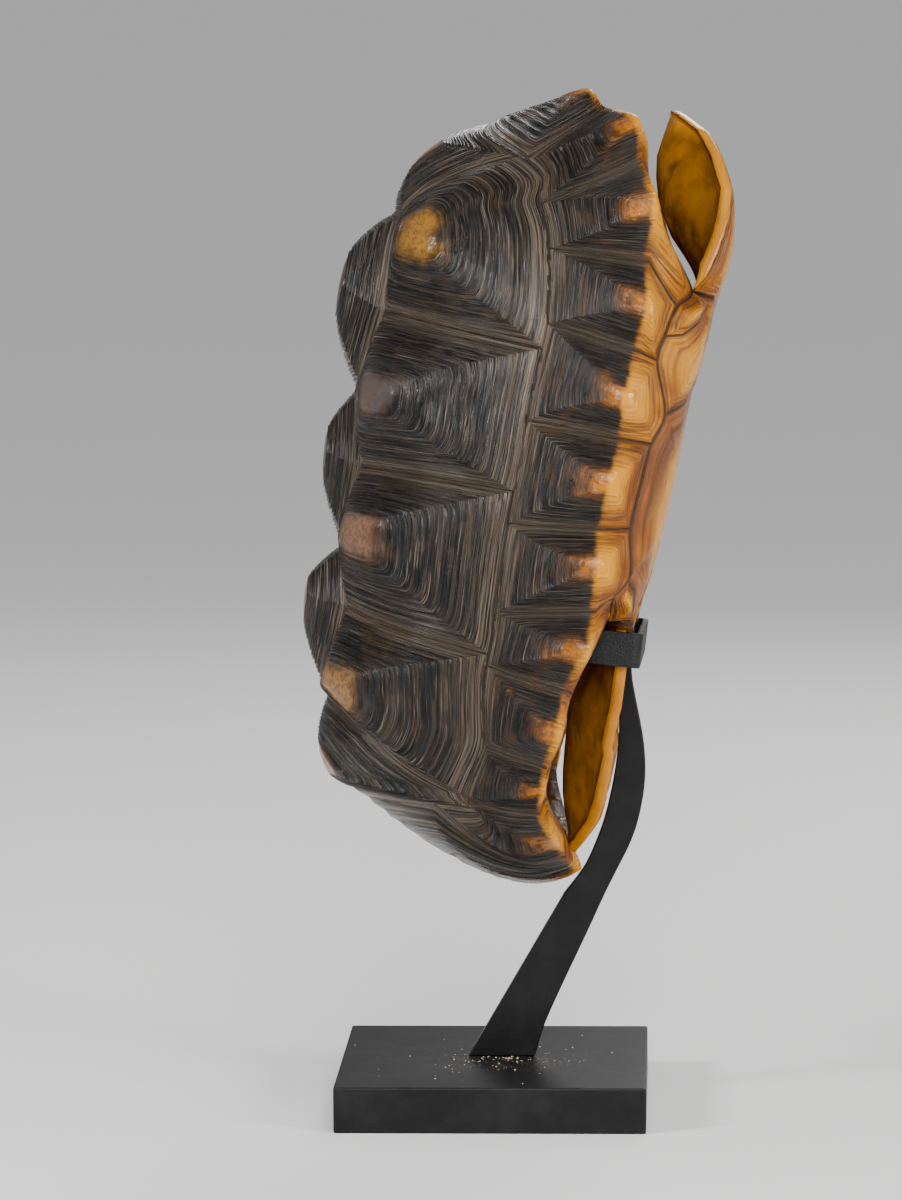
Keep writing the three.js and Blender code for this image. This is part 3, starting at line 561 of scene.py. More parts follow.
def addBack():
    rings, v = backScutes["rings"], backScutes["vertebrals"]
    first, last = meets["first"], meets["last"]
    toFirst = [tuple(upperAt(first)), *backScutes["firstBends"], v[0]["back"]]
    fromLast = [v[3]["back"], *backScutes["lastBends"], tuple(upperAt(last))]
    runs = [onDome(1, toFirst), across(v[0]["back"], 1), backwards(onDome(-1, toFirst)),
            upperRun(-1, first, 0), upperRun(1, 0, first)]
    scute("dome", runs, {**rings, **v[0]})
    sides = {}
    for i in (1, 2, 3):
        front, corner, rear = v[i - 1]["back"], v[i]["corner"], v[i]["back"]
        sides[i] = [front, halfWay(front, corner), corner, halfWay(rear, corner), rear]
        runs = [onDome(1, sides[i]), across(rear, -1), backwards(onDome(-1, sides[i])),
                backwards(across(front, 1 if i == 1 else -1))]
        scute("dome", runs, {**rings, **v[i]})
    runs = [backwards(across(v[3]["back"], -1)), onDome(1, fromLast), upperRun(1, last, tailSeam),
            upperRun(-1, tailSeam, last), backwards(onDome(-1, fromLast))]
    scute("dome", runs, {**rings, **v[4]})
    for side in (1, -1):
        seams = [onDome(side, [v[i]["corner"], tuple(upperAt(t))]) for i, t in enumerate(meets["costals"], 1)]
        fore = {i: onDome(side, sides[i][:3]) for i in sides}
        aft = {i: onDome(side, sides[i][2:]) for i in sides}
        stops = [first, *meets["costals"], last]
        below = [backwards(upperRun(side, start, end)) for start, end in zip(stops, stops[1:])]
        outlines = [
            [below[0], onDome(side, toFirst), fore[1], seams[0]],
            [backwards(seams[0]), aft[1], fore[2], seams[1], below[1]],
            [backwards(seams[1]), aft[2], fore[3], seams[2], below[2]],
            [backwards(seams[2]), aft[3], onDome(side, fromLast), below[3]],
        ]
        for runs, costal in zip(outlines, backScutes["costals"]):
            x, y = costal["spot"]
            scute("dome", runs, {**rings, **costal, "ridges": rings["ridges"] + 1,
                                 "centre": domeSpot(x, side * y), "areola": backScutes["costalAreola"]})


def addMargin():
    for side in (1, -1):
        for k in range(tailSeam - 1):
            runs = [upperRun(side, k, k + 1), crossRun(side, k + 1), lipRun(side, k + 1, k),
                    backwards(crossRun(side, k))]
            scute("margin", runs, {**edge, "centre": (onSide(k + 0.5, side), 1)})
    start, end = tailSeam - 1, tailSeam
    runs = [upperRun(1, start, end), upperRun(-1, end, start), crossRun(-1, start), lipRun(-1, start, end),
            lipRun(1, end, start), backwards(crossRun(1, start))]
    scute("margin", runs, {**edge, "centre": (tailSeam, 0.8), "height": 2})


def withEnds(made, start=None, end=None):
    point = made["point"].copy()
    if start is not None:
        point[0] = start
    if end is not None:
        point[-1] = end
    return {**made, "point": point}


def addBelly():
    midline = [108, 60, 43, -46, -113, -146]  # where the seams cross it
    axilla, bridge, inguen = bellyMeets
    gular, anal = belly["gularBreak"], belly["analBreak"]
    for side in (1, -1):
        def atLip(t):
            return lipRun(side, t, t)["point"][0]

        def seam(start, bends, end):
            return onBelly(side, [tuple(lipAt(start)[:2]), *bends, end])

        def gap(i):
            return onBelly(1, [(midline[i], 0), (midline[i - 1], 0)])

        front, frontRest = edgeRun(side, belly["front"][:gular + 1]), edgeRun(side, belly["front"][gular:])
        rear, rearRest = edgeRun(side, belly["rear"][:anal + 1]), edgeRun(side, belly["rear"][anal:])
        gularSeam = withEnds(onBelly(side, [belly["front"][gular][:2], (midline[0], 0)]), front["point"][-1])
        humeral = withEnds(seam(armpit, [], (midline[1], 0)), atLip(armpit))
        pectoral = withEnds(seam(bridge, [(40, 40)], (midline[2], 0)), atLip(bridge))
        abdominal = withEnds(seam(groin, [(-50, 40)], (midline[3], 0)), atLip(groin))
        femoral = withEnds(onBelly(side, [belly["rear"][anal][:2], (midline[4], 0)]), rear["point"][-1])
        axillary = withEnds(seam(armpit, [(62, 73)], tuple(lipAt(axilla)[:2])), atLip(armpit), atLip(axilla))
        inguinal = withEnds(seam(inguen, [(-43, 73)], tuple(lipAt(groin)[:2])), atLip(inguen), atLip(groin))
        tip = onBelly(1, [(midline[0], 0), (belly["front"][0][0], 0)])
        outlines = [  # runs, centre and height of each plate
            ([front, gularSeam, withEnds(tip, None, front["point"][0])], (127, 12), 0.5),
            ([frontRest, humeral, gap(1), backwards(gularSeam)], (90, 30), 0.5),
            ([axillary, lipRun(side, axilla, bridge), pectoral, gap(2), backwards(humeral)], (45, 60), 0.5),
            ([lipRun(side, bridge, inguen), inguinal, abdominal, gap(3), backwards(pectoral)], (-5, 45), 0.5),
            ([rear, femoral, gap(4), backwards(abdominal)], (-70, 26), 0.5),
            ([rearRest, withEnds(gap(5), rearRest["point"][-1]), backwards(femoral)], (-128, 14), 0.5),
            ([lipRun(side, armpit, axilla), backwards(axillary)], (64, 78), 0.6),
            ([lipRun(side, inguen, groin), backwards(inguinal)], (-46, 78), 1.4),
        ]
        for runs, (x, y), height in outlines:
            scute("belly", runs, {**plates, "centre": (x, side * y), "height": height})


def insideLip(side, t):
    # the inner edge of the margin, drawn in along the bridge
    end = marginPoint(np.stack([onSide(t, side), t * 0 + 2], -1))
    share = np.clip(np.minimum((t - armpit) / 0.6, (groin - t) / 0.35), 0, 1)
    share = np.where((t > armpit) & (t < groin), share, 0)
    end[:, 1] -= side * 8 * share
    low = plateInside(end[:, 0], end[:, 1])
    end[:, 2] = np.where(share > 0, end[:, 2] * (1 - share) + low * share, end[:, 2])
    return end


def addBackInside(side):
    t = lipPlaces
    upper = upperAt(t)
    top = domeSpot(dome["middle"] + 0.5 * (upper[:, 0] - dome["middle"]), t * 0)
    foot = domeSpot(upper[:, 0], side * upper[:, 1])
    arch = [sunk("dome", top + (foot - top) * s, belly["wall"] + t * 0) for s in np.linspace(0, 1, 9)]
    bend = sunk("margin", np.stack([onSide(t, side), t * 0 + 0.8], -1), 9 + t * 0)
    end = insideLip(side, t)
    turned = [arch[-1] * (1 - s) ** 2 + bend * 2 * s * (1 - s) + end * s * s for s in (0.2, 0.4, 0.6, 0.8)]
    rows = np.array(arch + turned + [end])
    rows[:, upper[:, 1] < 0.01, 1] = 0
    rows[0, :, 1] = 0
    inner = np.concatenate([np.full(len(arch), 1.0), [0.9, 0.7, 0.4, 0.15, 0.0]])[:, None]
    addStrips(addRows(rows, stacked(rows.shape[:2], 0.0, 0.5, 1.0, -inner)), False, side > 0)


def addLobeEdge(side, rowsIn, cut):
    # the rounded edge from the outer to the inner face, thinning out to the notch
    first, rest = edgeRun(side, rowsIn[:cut + 1])["point"], edgeRun(side, rowsIn[cut:])["point"]
    outer = np.concatenate([first, rest[1:]])
    notch = outer[-1] if rowsIn is belly["front"] else outer[0]
    near = np.clip(np.linalg.norm(outer - notch, axis=1) / 15, 0, 1)
    away = np.where(np.abs(outer[:, 1]) < 0.01, 0, 0.9 * side)
    made = [outer]
    for turn in (30, 65, 115, 150, 180):
        a = math.radians(turn)
        push = np.stack([np.sign(outer[:, 0]) * 0.45 * near, away * near, near * 0], -1) * math.sin(a)
        push[:, 2] = belly["edge"] * near * (1 - math.cos(a)) / 2
        made.append(outer + push)
    rows = np.array(made)
    addStrips(addRows(rows, stacked(rows.shape[:2], 0.0, 0.6, 1.0, 0.0)), False, side < 0)
    return made[-1]


def addPlateInside(side, frontEdge, rearEdge):
    t = lipPlaces
    middle = t[(t > armpit + 1e-6) & (t < groin - 1e-6)]
    around = np.concatenate([frontEdge, insideLip(side, middle), rearEdge])
    target = -4 + 0.6 * (around[:, 0] + 4)  # along the midline
    rows = [around]
    shares = [0.04, 0.1, 0.2, 0.32, 0.46, 0.62, 0.8, 1.0]
    for s in shares:
        x = around[:, 0] + (target - around[:, 0]) * s
        y = around[:, 1] * (1 - s)
        z = plateInside(x, y)
        deepened = min(1, s / 0.1)
        rows.append(np.stack([x, y, z * deepened + np.maximum(around[:, 2], 0) * (1 - deepened)], -1))
    rows = np.array(rows)
    x, y = rows[..., 0], np.abs(rows[..., 1])
    fromMiddle = np.abs(x - 5)
    lobes = np.clip((fromMiddle - 70) / 12, 0, 1)
    stripes = 0.5 + 0.5 * np.sin(np.abs(lobeHalfAt(x)[..., 0] - y) * 1.9 + 0.5 * np.sin(x * 0.2))
    seam = np.exp(-((np.abs((x - 121) * 0.55 + (y - 12) * 0.83) / 1.1) ** 2)) * (x > 95)
    deep = np.clip((100 - fromMiddle) / 18, 0, 1)
    groove = np.clip((0.3 + 0.3 * stripes + 0.6 * deep) * lobes + seam, 0, 1)
    inner = (1 - lobes) * np.concatenate([[0], np.clip(np.array(shares) * 4, 0, 1)])[:, None]
    addStrips(addRows(rows, stacked(rows.shape[:2], groove, 0.78, 1.0, -inner)), False, side > 0)


def addInside():
    for side in (1, -1):
        addBackInside(side)
        frontEdge = addLobeEdge(side, belly["front"], belly["gularBreak"])
        rearEdge = addLobeEdge(side, belly["rear"], belly["analBreak"])
        addPlateInside(side, frontEdge, rearEdge)


# horn and bone of the shell
horn = {
    "ridge": ((0.002, 0.002, 0.0022, 1), (0.008, 0.006, 0.0048, 1)), "line": (0.026, 0.018, 0.012, 1),
    # the bluish grey at the end of the next line is a painted sheen over the worn ridges near the old centres
    "hair": (0.16, 0.126, 0.094, 1), "worn": (0.025, 0.026, 0.029, 1),
    # the groove colours on the next line are a near-black painted shade mixed with a brown dirt
    "grooveShadeAndDirt": ((0.002, 0.0017, 0.0016, 1), (0.04, 0.024, 0.013, 1)), "nearSeam": (0.13, 0.095, 0.065, 1),
    "seam": (0.012, 0.008, 0.005, 1), "speck": (0.06, 0.032, 0.018, 1), "oldBand": (0.09, 0.045, 0.02, 1),
    "rust": (0.014, 0.006, 0.002, 1), "honey": ((0.42, 0.155, 0.004, 1), (0.2, 0.052, 0.003, 1)),
    "gold": (0.56, 0.225, 0.004, 1), "ringStain": (0.09, 0.028, 0.006, 1), "stain": (0.08, 0.022, 0.005, 1),
    "bellySeam": (0.03, 0.014, 0.006, 1), "bone": ((0.55, 0.17, 0.012, 1), (0.16, 0.04, 0.006, 1)),
    "boneSpot": (0.09, 0.035, 0.01, 1),
    "streaks": ((50, 0.5, 1), (130, 0.9, 2), (9, 0.8, 2)),  # scale across and along the rings, detail
    "apart": 37.0, "wobbleSize": 180, "wobble": 0.7,
    "bump": (0.8, 0.0008),  # strength and distance
    "shader": {"Specular IOR Level": 0.25, "Subsurface Weight": 0.06, "Subsurface Radius": (1.0, 0.45, 0.15),
               "Subsurface Scale": 0.003},
}


def streaks(tree, place, flow, across, along, detail):
    # noise drawn out along the growth rings, other for each scute
    which = flow.outputs["Alpha"]
    shift = node(tree, "CombineXYZ", {0: times(tree, which, horn["apart"]), 1: which}).outputs[0]

    def vector(how, first, second):
        return node(tree, "VectorMath", {0: first, 1: second}, operation=how).outputs[0]

    moved = vector("ADD", vector("MULTIPLY", flow.outputs["Vector"], (across, along, along)), shift)
    bent = vector("MULTIPLY", place, (horn["wobbleSize"],) * 3)
    wobble = node(tree, "TexNoise", {"Vector": bent, "Scale": 0.35, "Detail": 1.0}).outputs["Color"]
    return noise(tree, vector("ADD", moved, vector("MULTIPLY", wobble, (horn["wobble"],) * 3)), 1.0, detail)


def hornMasks(tree):
    place = node(tree, "TexCoord").outputs["Object"]
    mask, tint, flow, inner = (node(tree, "Attribute", attribute_name=name)
                               for name in ("mask", "tint", "flow", "inner"))
    parts = node(tree, "SeparateColor", {"Color": mask.outputs["Color"]}).outputs
    m = SimpleNamespace(groove=parts[0], ring=parts[1], under=parts[2], areola=mask.outputs["Alpha"],
                        tint=tint.outputs["Color"], inner=inner.outputs["Fac"])
    m.wide, m.medium, m.fine = (noise(tree, place, *values) for values in ((32, 4), (120, 4), (700, 3)))
    m.lines, m.hairs, m.bands = (streaks(tree, place, flow, *values) for values in horn["streaks"])
    m.worn = ramp(tree, m.ring, 0.5, 0.95)
    m.inGroove = ramp(tree, m.groove, 0.25, 0.85)
    return m


def layered(tree, colour, layers):
    # each layer has its mask, how much of it shows and its colour
    for mask, amount, over in layers:
        colour = blend(tree, times(tree, mask, amount), colour, over)
    return colour


def darkHorn(tree, m):
    # streaks along the ridges, fewer where the horn is worn, and a painted bluish-grey sheen over them
    # towards the old centres
    streaky = maths(tree, "MULTIPLY_ADD", m.worn, -0.5, 0.85)
    ridge = blend(tree, ramp(tree, m.bands, 0.35, 0.65), *horn["ridge"])
    # mask of the painted bluish-grey sheen over the ridges towards the old centres
    sheenNearCentre = times(tree, ramp(tree, m.ring, 0.45, 0.95), ramp(tree, m.bands, 0.4, 0.7))
    ridge = layered(tree, ridge, [(ramp(tree, m.lines, 0.55, 0.6), streaky, horn["line"]),
                                  (ramp(tree, m.hairs, 0.6, 0.645), streaky, horn["hair"]),
                                  (sheenNearCentre, 0.5, horn["worn"])])
    # painted shade and dirt in the grooves, tan beside the seams, and the dark seams
    grooveShadeAndDirt = blend(tree, ramp(tree, m.medium, 0.45, 0.62), *horn["grooveShadeAndDirt"])
    near = times(tree, ramp(tree, m.ring, 0.3, 0.03), ramp(tree, m.hairs, 0.4, 0.62))
    seam = ramp(tree, m.ring, 0.022, 0.0)
    colour = layered(tree, ridge, [(m.inGroove, 0.85, grooveShadeAndDirt), (near, 0.75, horn["nearSeam"]),
                                   (seam, 0.8, horn["seam"])])
    # the old centre of each scute, with a rusty rim
    old = layered(tree, m.tint, [(ramp(tree, m.fine, 0.45, 0.62), 0.6, horn["speck"]),
                                 (ramp(tree, m.bands, 0.45, 0.7), 0.5, horn["oldBand"])])
    uneven = maths(tree, "ADD", swing(tree, m.lines, 0.5), swing(tree, m.medium, 1.0))
    fade = maths(tree, "ADD", m.areola, uneven)
    colour = blend(tree, ramp(tree, fade, 0.0, 0.6), colour, blend(tree, 0.65, old, horn["rust"]))
    return blend(tree, ramp(tree, fade, 0.3, 0.8), colour, old)


def amberHorn(tree, m):
    colour = blend(tree, ramp(tree, m.wide, 0.38, 0.66), *horn["honey"])
    colour = blend(tree, ramp(tree, m.ring, 0.35, 0.85), colour, horn["gold"])
    rings = times(tree, ramp(tree, m.bands, 0.4, 0.62), ramp(tree, m.ring, 0.7, 0.25))
    stain = times(tree, m.groove, ramp(tree, m.medium, 0.35, 0.65))
    seam = ramp(tree, m.ring, 0.09, 0.01)
    return layered(tree, colour, [(rings, 0.85, horn["ringStain"]), (stain, 0.85, horn["stain"]),
                                  (seam, 0.9, horn["bellySeam"])])


def insideBone(tree, m):
    colour = blend(tree, ramp(tree, m.wide, 0.4, 0.6), *horn["bone"])
    return layered(tree, colour, [(ramp(tree, m.medium, 0.5, 0.62), 0.6, horn["boneSpot"])])


def hornHeight(tree, m):
    # fine relief, weak on the underside and on the old centres
    height = maths(tree, "ADD", times(tree, m.lines, 2.2), m.hairs)
    height = times(tree, height, maths(tree, "MULTIPLY_ADD", m.under, -0.75, 1.0))
    height = times(tree, height, maths(tree, "MULTIPLY_ADD", ramp(tree, m.areola, 0.1, 0.6), -0.9, 1.0))
    return maths(tree, "SUBTRACT", maths(tree, "MULTIPLY_ADD", m.fine, 0.25, height), m.groove)


def shellMaterial():
    made, tree, shader = newMaterial("horn")
    m = hornMasks(tree)
    uneven = maths(tree, "ADD", swing(tree, m.medium, 0.7), swing(tree, m.lines, 0.3))
    side = ramp(tree, maths(tree, "ADD", m.under, uneven), 0.35, 0.8)
    colour = blend(tree, side, darkHorn(tree, m), amberHorn(tree, m))
    rough = maths(tree, "MULTIPLY_ADD", m.inGroove, 0.25, 0.24)
    rough = maths(tree, "ADD", rough, maths(tree, "MULTIPLY_ADD", m.hairs, 0.3, -0.1))
    rough = maths(tree, "MULTIPLY_ADD", m.worn, -0.08, rough)
    rough = maths(tree, "ADD", rough, times(tree, m.inner, 0.1), clamp=True)
    normal = bumped(tree, hornHeight(tree, m), *horn["bump"])
    colour = blend(tree, m.inner, colour, insideBone(tree, m))
    fill(tree, shader, {"Base Color": colour, "Roughness": rough, "Normal": normal, **horn["shader"]})
    return made


def makeShell():
    addBack()
    addMargin()
    addBelly()
    addInside()
    points = toWorld(np.concatenate(skin["points"]))
    masks, tints, flows = (np.concatenate(skin[name]).tolist() for name in ("masks", "tints", "flows"))
    bm = bmesh.new()
    layers = bm.verts.layers.float_color
    maskLayer, tintLayer, flowLayer = (layers.new(name) for name in ("mask", "tint", "flow"))
    innerLayer = bm.verts.layers.float.new("inner")
    verts = [bm.verts.new(point) for point in points.tolist()]
    for vert, mask, tint, flow in zip(verts, masks, tints, flows):
        vert[maskLayer] = (*mask[:3], max(mask[3], 0))
        vert[tintLayer] = tint
        vert[flowLayer] = flow
        vert[innerLayer] = max(-mask[3], 0)  # below zero the last mask tells the inside
    for block in skin["faces"]:
        for ids in block.tolist():
            bm.faces.new([verts[i] for i in ids])
    bmesh.ops.remove_doubles(bm, verts=bm.verts, dist=3e-6)
    bmesh.ops.dissolve_degenerate(bm, dist=1e-7, edges=bm.edges)
    print("shell: open edges", sum(1 for e in bm.edges if len(e.link_faces) != 2), "triangles",
          sum(len(f.verts) - 2 for f in bm.faces))
    return pieceFrom(bm, "turtle_shell_look", shellMaterial())


# the stand
finish = {"mottle": 60, "roughRange": 0.2, "specular": 0.22, "bumpDistance": 0.0004}


def makeStandGrain():
    # mottled dark colour and roughness, and the height of a fine grain
    group = bpy.data.node_groups.new("standGrain", "ShaderNodeTree")
    sockets = {"INPUT": {"Colour": "Color", "Lighter": "Color", "Smoothest": "Float", "Grain": "Float"},
               "OUTPUT": {"Colour": "Color", "Roughness": "Float", "Height": "Float"}}
    for way, named in sockets.items():
        for name, kind in named.items():
            group.interface.new_socket(name=name, in_out=way, socket_type="NodeSocket" + kind)
    given = group.nodes.new("NodeGroupInput").outputs
    place = node(group, "TexCoord").outputs["Object"]
    soft = noise(group, place, finish["mottle"], 4)
    shade = blend(group, ramp(group, soft, 0.4, 0.75), given["Colour"], given["Lighter"])
    rough = maths(group, "MULTIPLY_ADD", soft, finish["roughRange"], given["Smoothest"])
    cells = node(group, "TexVoronoi", {"Vector": place, "Scale": given["Grain"]})
    results = {"Colour": shade, "Roughness": rough, "Height": cells.outputs["Distance"]}
    fill(group, group.nodes.new("NodeGroupOutput"), results)
    return group


standGrain = makeStandGrain()


def darkMaterial(name, piece, dust=None):
    made, tree, shader = newMaterial(name)
    lighter = tuple(min(c * 2 + 0.002, 1) for c in piece["colour"][:3]) + (1,)
    values = {"Colour": piece["colour"], "Lighter": lighter, "Grain": piece["grain"],
              "Smoothest": piece["rough"] - finish["roughRange"] / 2}
    grain = node(tree, "Group", values, node_tree=standGrain)
    shade, roughness = grain.outputs["Colour"], grain.outputs["Roughness"]
    if dust:
        amount = dust(tree)
        shade = blend(tree, amount, shade, dustOnBase["colour"])
        roughness = maths(tree, "ADD", roughness, times(tree, amount, 0.4), clamp=True)
    normal = bumped(tree, grain.outputs["Height"], piece["bump"], finish["bumpDistance"])
    fill(tree, shader, {"Base Color": shade, "Roughness": roughness, "Normal": normal,
                        "Specular IOR Level": finish["specular"]})
    return made


def prism(outline, low, high, place, bevel, segments):
    bm = bmesh.new()
    face = bm.faces.new([bm.verts.new(place(x, y, low)) for x, y in outline])
    made = bmesh.ops.extrude_face_region(bm, geom=[face])
    lifted = [v for v in made["geom"] if isinstance(v, bmesh.types.BMVert)]
    shift = Vector(place(0, 0, high)) - Vector(place(0, 0, low))
    bmesh.ops.translate(bm, verts=lifted, vec=shift)
    bmesh.ops.recalc_face_normals(bm, faces=bm.faces)
    sharp = [e for e in bm.edges if len(e.link_faces) == 2 and e.calc_face_angle() > math.radians(50)]
    bmesh.ops.bevel(bm, geom=sharp, offset=bevel, affect="EDGES", segments=segments, profile=0.5, material=-1,
                    clamp_overlap=True)
    return bm


# a flat strip bent round the belly plate, in the shell's axes
band = {"x": -64.5, "z": -2, "tilt": 5, "height": 13.2, "thickness": 2.4, "halfSpan": 62, "arm": 30,
        "radius": 4, "bevel": 0.45,
        "colour": (0.005, 0.005, 0.0055, 1), "rough": 0.5, "grain": 1400, "bump": 0.6}


def makeBand():
    span, thick, r, arm = band["halfSpan"], band["thickness"], band["radius"], band["arm"]

    def arc(cy, radius, start, end):
        turns = [math.radians(start + (end - start) * k / 8) for k in range(9)]
        return [(r + radius * math.cos(a), cy + radius * math.sin(a)) for a in turns]

    outline = [(arm, span)] + arc(span - r, r, 90, 180) + arc(-span + r, r, 180, 270)
    outline += [(arm, -span), (arm, -span + thick)]
    outline += arc(-span + r, r - thick, 270, 180) + arc(span - r, r - thick, 180, 90) + [(arm, span - thick)]
    sine, cosine = math.sin(math.radians(band["tilt"])), math.cos(math.radians(band["tilt"]))
    toBack, toHead = np.array([-sine, 0, cosine]), np.array([cosine, 0, sine])
    sideways = np.cross(toHead, toBack)

    def place(x, y, z):
        return tuple(toWorld(np.array([band["x"], 0, band["z"]]) + toBack * x + sideways * y + toHead * z))

    bm = prism(outline, -band["height"] / 2, band["height"] / 2, place, band["bevel"] * mm, 3)
    return pieceFrom(bm, "band_look", darkMaterial("leather", band))


# a flat bar cut to a curve, its right and left outlines as x and z from the foot up and back down
upright = {
    "thickness": 4, "bevel": 0.5, "curvedLeft": 10,
    "colour": (0.0025, 0.0025, 0.0028, 1), "rough": 0.34, "grain": 2600, "bump": 0.12,
    "right": [
        (16, 18.3), (20, 31.5), (27.6, 48.5), (36.3, 67), (43.8, 83.4), (49.2, 94.2), (53.5, 102.9),
        (56.6, 111.6), (58.9, 122.5), (59.7, 132.2), (59.2, 141.9), (57.9, 150.5), (55.8, 161.3), (54.4, 171),
        (54.9, 184),
    ],
    "left": [
        (51.6, 184.5), (50.6, 176), (50.2, 168), (49.6, 155), (49, 142), (47, 128), (43.5, 113), (39, 101),
        (35, 93), (27.7, 83.4), (-4.8, 27.6), (-10.2, 18.3),
    ],
}


def smoothed(points, steps=3):
    # a curve through all the points
    made = []
    for i in range(len(points) - 1):
        p = [np.array(points[max(min(i + k, len(points) - 1), 0)], float) for k in (-1, 0, 1, 2)]
        v0, v1 = (p[2] - p[0]) / 2, (p[3] - p[1]) / 2
        for s in range(steps):
            t = s / steps
            made.append(tuple((2 * p[1] - 2 * p[2] + v0 + v1) * t ** 3
                              + (-3 * p[1] + 3 * p[2] - 2 * v0 - v1) * t * t + v0 * t + p[1]))
    return made + [tuple(points[-1])]


def makeUpright():
    half, straight = upright["thickness"] / 2, upright["curvedLeft"]
    outline = smoothed(upright["right"]) + smoothed(upright["left"][:straight]) + upright["left"][straight:]
    bm = prism(outline, -half, half, lambda x, y, z: (x * mm, z * mm, y * mm), upright["bevel"] * mm, 2)
    return pieceFrom(bm, "upright_look", darkMaterial("satinBlack", upright), smooth=False)


# the block, with dust and crumbs that fell near the upright's foot
base = {"side": 120, "height": 18, "bevel": 0.8, "foot": (3, 0),
        "colour": (0.003, 0.003, 0.0033, 1), "rough": 0.42, "grain": 1800, "bump": 0.1}
dustOnBase = {"colour": (0.3, 0.25, 0.19, 1), "reach": (0.045, 0.004), "specks": 900, "film": 90}
scatter = {"seed": 11, "count": 150, "spread": 17, "stretch": 1.5, "forward": 3, "sizes": (0.12, 0.5),
           "edge": 57, "foot": (-11, 17, 2.6), "squash": 0.6, "lift": 0.45, "uneven": (0.7, 1.1),
           "rough": 0.85, "colours": ((0.3, 0.2, 0.11, 1), (0.55, 0.45, 0.32, 1))}


def dustNearFoot(tree):
    place = node(tree, "TexCoord").outputs["Object"]
    foot = Vector((*base["foot"], base["height"])) * mm
    gap = node(tree, "VectorMath", {0: place, 1: foot}, operation="DISTANCE").outputs["Value"]
    near = ramp(tree, gap, *dustOnBase["reach"])
    specks = ramp(tree, noise(tree, place, dustOnBase["specks"], 2, 0.7), 0.6, 0.7)
    film = ramp(tree, noise(tree, place, dustOnBase["film"], 5, 0.7), 0.45, 0.8)
    film = times(tree, maths(tree, "MULTIPLY_ADD", near, 0.12, 0.01), film)
    return maths(tree, "ADD", times(tree, times(tree, specks, near), 0.75), film, clamp=True)


def makeBase():
    size = Matrix.Diagonal((base["side"] * mm, base["side"] * mm, base["height"] * mm, 1))
    bm = bmesh.new()
    bmesh.ops.create_cube(bm, size=1.0, matrix=Matrix.Translation((0, 0, base["height"] / 2 * mm)) @ size)
    bmesh.ops.bevel(bm, geom=bm.edges[:], offset=base["bevel"] * mm, affect="EDGES", segments=3, profile=0.5,
                    material=-1)
    return pieceFrom(bm, "base_look", darkMaterial("mattBlack", base, dustNearFoot), smooth=False)


def makeCrumbs():
    crumbDice = np.random.default_rng(scatter["seed"])
    footLow, footHigh, footHalf = scatter["foot"]
    bm = bmesh.new()
    for k in range(scatter["count"]):
        reach = crumbDice.exponential(scatter["spread"]) + 1
        turn = crumbDice.uniform(0, 2 * math.pi)
        x = base["foot"][0] + reach * scatter["stretch"] * math.cos(turn)
        y = base["foot"][1] + reach * math.sin(turn) - scatter["forward"]
        if max(abs(x), abs(y)) > scatter["edge"] or (footLow < x < footHigh and abs(y) < footHalf):
            continue
        size = crumbDice.uniform(*scatter["sizes"]) * (1.3 if k % 7 == 0 else 1)
        made = bmesh.ops.create_icosphere(bm, subdivisions=1, radius=size * mm)
        shift = Vector((x * mm, y * mm, (base["height"] + size * scatter["lift"]) * mm))
        for vert in made["verts"]:
            flat = Vector((vert.co.x, vert.co.y, vert.co.z * scatter["squash"]))
            vert.co = flat * float(crumbDice.uniform(*scatter["uneven"])) + shift
    made, tree, shader = newMaterial("crumbs")
    place = node(tree, "TexCoord").outputs["Object"]
    colour = blend(tree, ramp(tree, noise(tree, place, 500), 0.35, 0.65), *scatter["colours"])
    fill(tree, shader, {"Base Color": colour, "Roughness": scatter["rough"]})
    return pieceFrom(bm, "crumbs", made)


shell = makeShell()
print("shell built")
bandPiece, uprightPiece, basePiece, crumbs = makeBand(), makeUpright(), makeBase(), makeCrumbs()
print("stand built")
for piece, nodeName, slot in ((shell, "turtle_shell", "shell_horn"), (bandPiece, "band", "black_leather"),
                              (uprightPiece, "upright", "black_metal"), (basePiece, "base", "black_block")):
    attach(piece, "root")
    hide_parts(nodeName)
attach(crumbs, "root")
print("pieces placed")

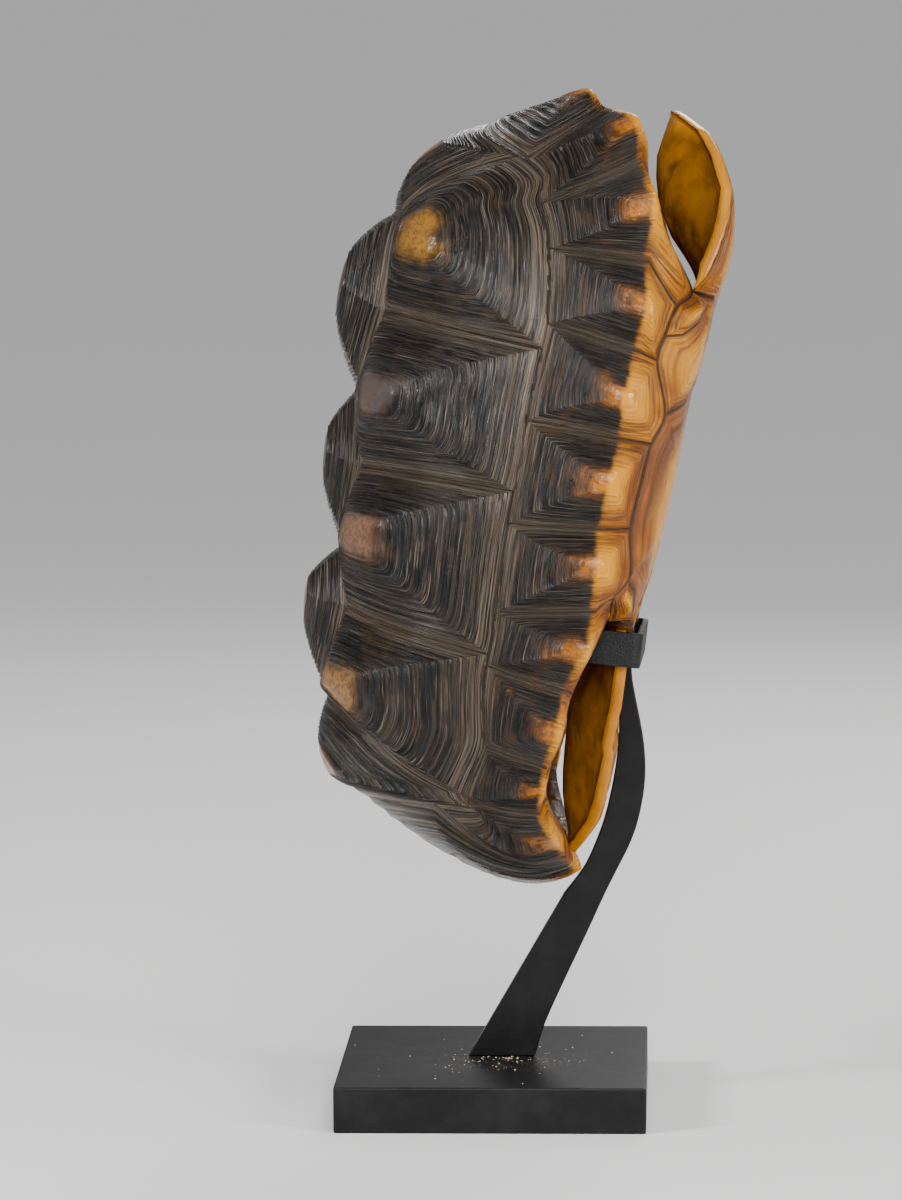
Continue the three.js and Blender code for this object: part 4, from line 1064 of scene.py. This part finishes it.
# pale floor and soft lights: kind, place, size or angle, power
studio = {
    "floor": (0.8, 0.795, 0.785, 1), "floorRough": 0.8, "reach": 900,
    "world": (0.85, 0.86, 0.88, 1), "worldStrength": 0.32, "aim": (0, 0, 0.22),
    "lights": [("AREA", (-1.2, -0.7, 0.8), 0.3, 22), ("AREA", (1.1, -0.75, 0.5), 0.35, 15),
               ("AREA", (0.15, -1.7, 0.75), 0.5, 17), ("AREA", (0.3, 1.1, 0.9), 0.5, 7),
               ("SUN", (0.25, -0.7, 1.5), math.radians(35), 1.1)],
}


def makeStudio():
    bm = bmesh.new()
    bmesh.ops.create_grid(bm, x_segments=1, y_segments=1, size=studio["reach"])
    material, tree, shader = newMaterial("paleFloor")
    fill(tree, shader, {"Base Color": studio["floor"], "Roughness": studio["floorRough"]})
    floor = pieceFrom(bm, "floor", material)
    world = bpy.data.worlds.new("studio")
    world.use_nodes = True
    sky = world.node_tree
    fill(sky, sky.nodes["Background"], {"Color": studio["world"], "Strength": studio["worldStrength"]})
    bpy.context.scene.world = world
    for i, (kind, spot, size, power) in enumerate(studio["lights"]):
        light = bpy.data.lights.new("soft%d" % i, kind)
        light.energy = power
        setattr(light, "angle" if kind == "SUN" else "size", size)
        lamp = placed(light.name, light)
        lamp.location = spot
        lamp.rotation_euler = (Vector(studio["aim"]) - Vector(spot)).to_track_quat("-Z", "Y").to_euler()


view = {"azimuth": 2.495, "elevation": 6.75, "roll": -0.381, "target": (-16.03, 0, 199.0), "distance": 2002.7,
        "lens": 153.93, "sensor": 36}


def makeCamera():
    a, e, r = (math.radians(view[k]) for k in ("azimuth", "elevation", "roll"))
    outward = Vector((math.sin(a) * math.cos(e), -math.cos(a) * math.cos(e), math.sin(e)))
    right = Vector((math.cos(a), math.sin(a), 0))
    up = outward.cross(right)
    turnedRight = right * math.cos(r) + up * math.sin(r)
    turnedUp = up * math.cos(r) - right * math.sin(r)
    lens = bpy.data.cameras.new("photo_angle")
    lens.sensor_fit = "VERTICAL"
    lens.sensor_height = lens.sensor_width = view["sensor"]
    lens.lens = view["lens"]
    camera = placed("photo_angle", lens)
    matrix = Matrix((turnedRight, turnedUp, outward)).transposed().to_4x4()
    matrix.translation = (Vector(view["target"]) + outward * view["distance"]) * mm
    camera.matrix_world = matrix
    bpy.context.scene.camera = camera


makeStudio()
makeCamera()
print("studio ready")
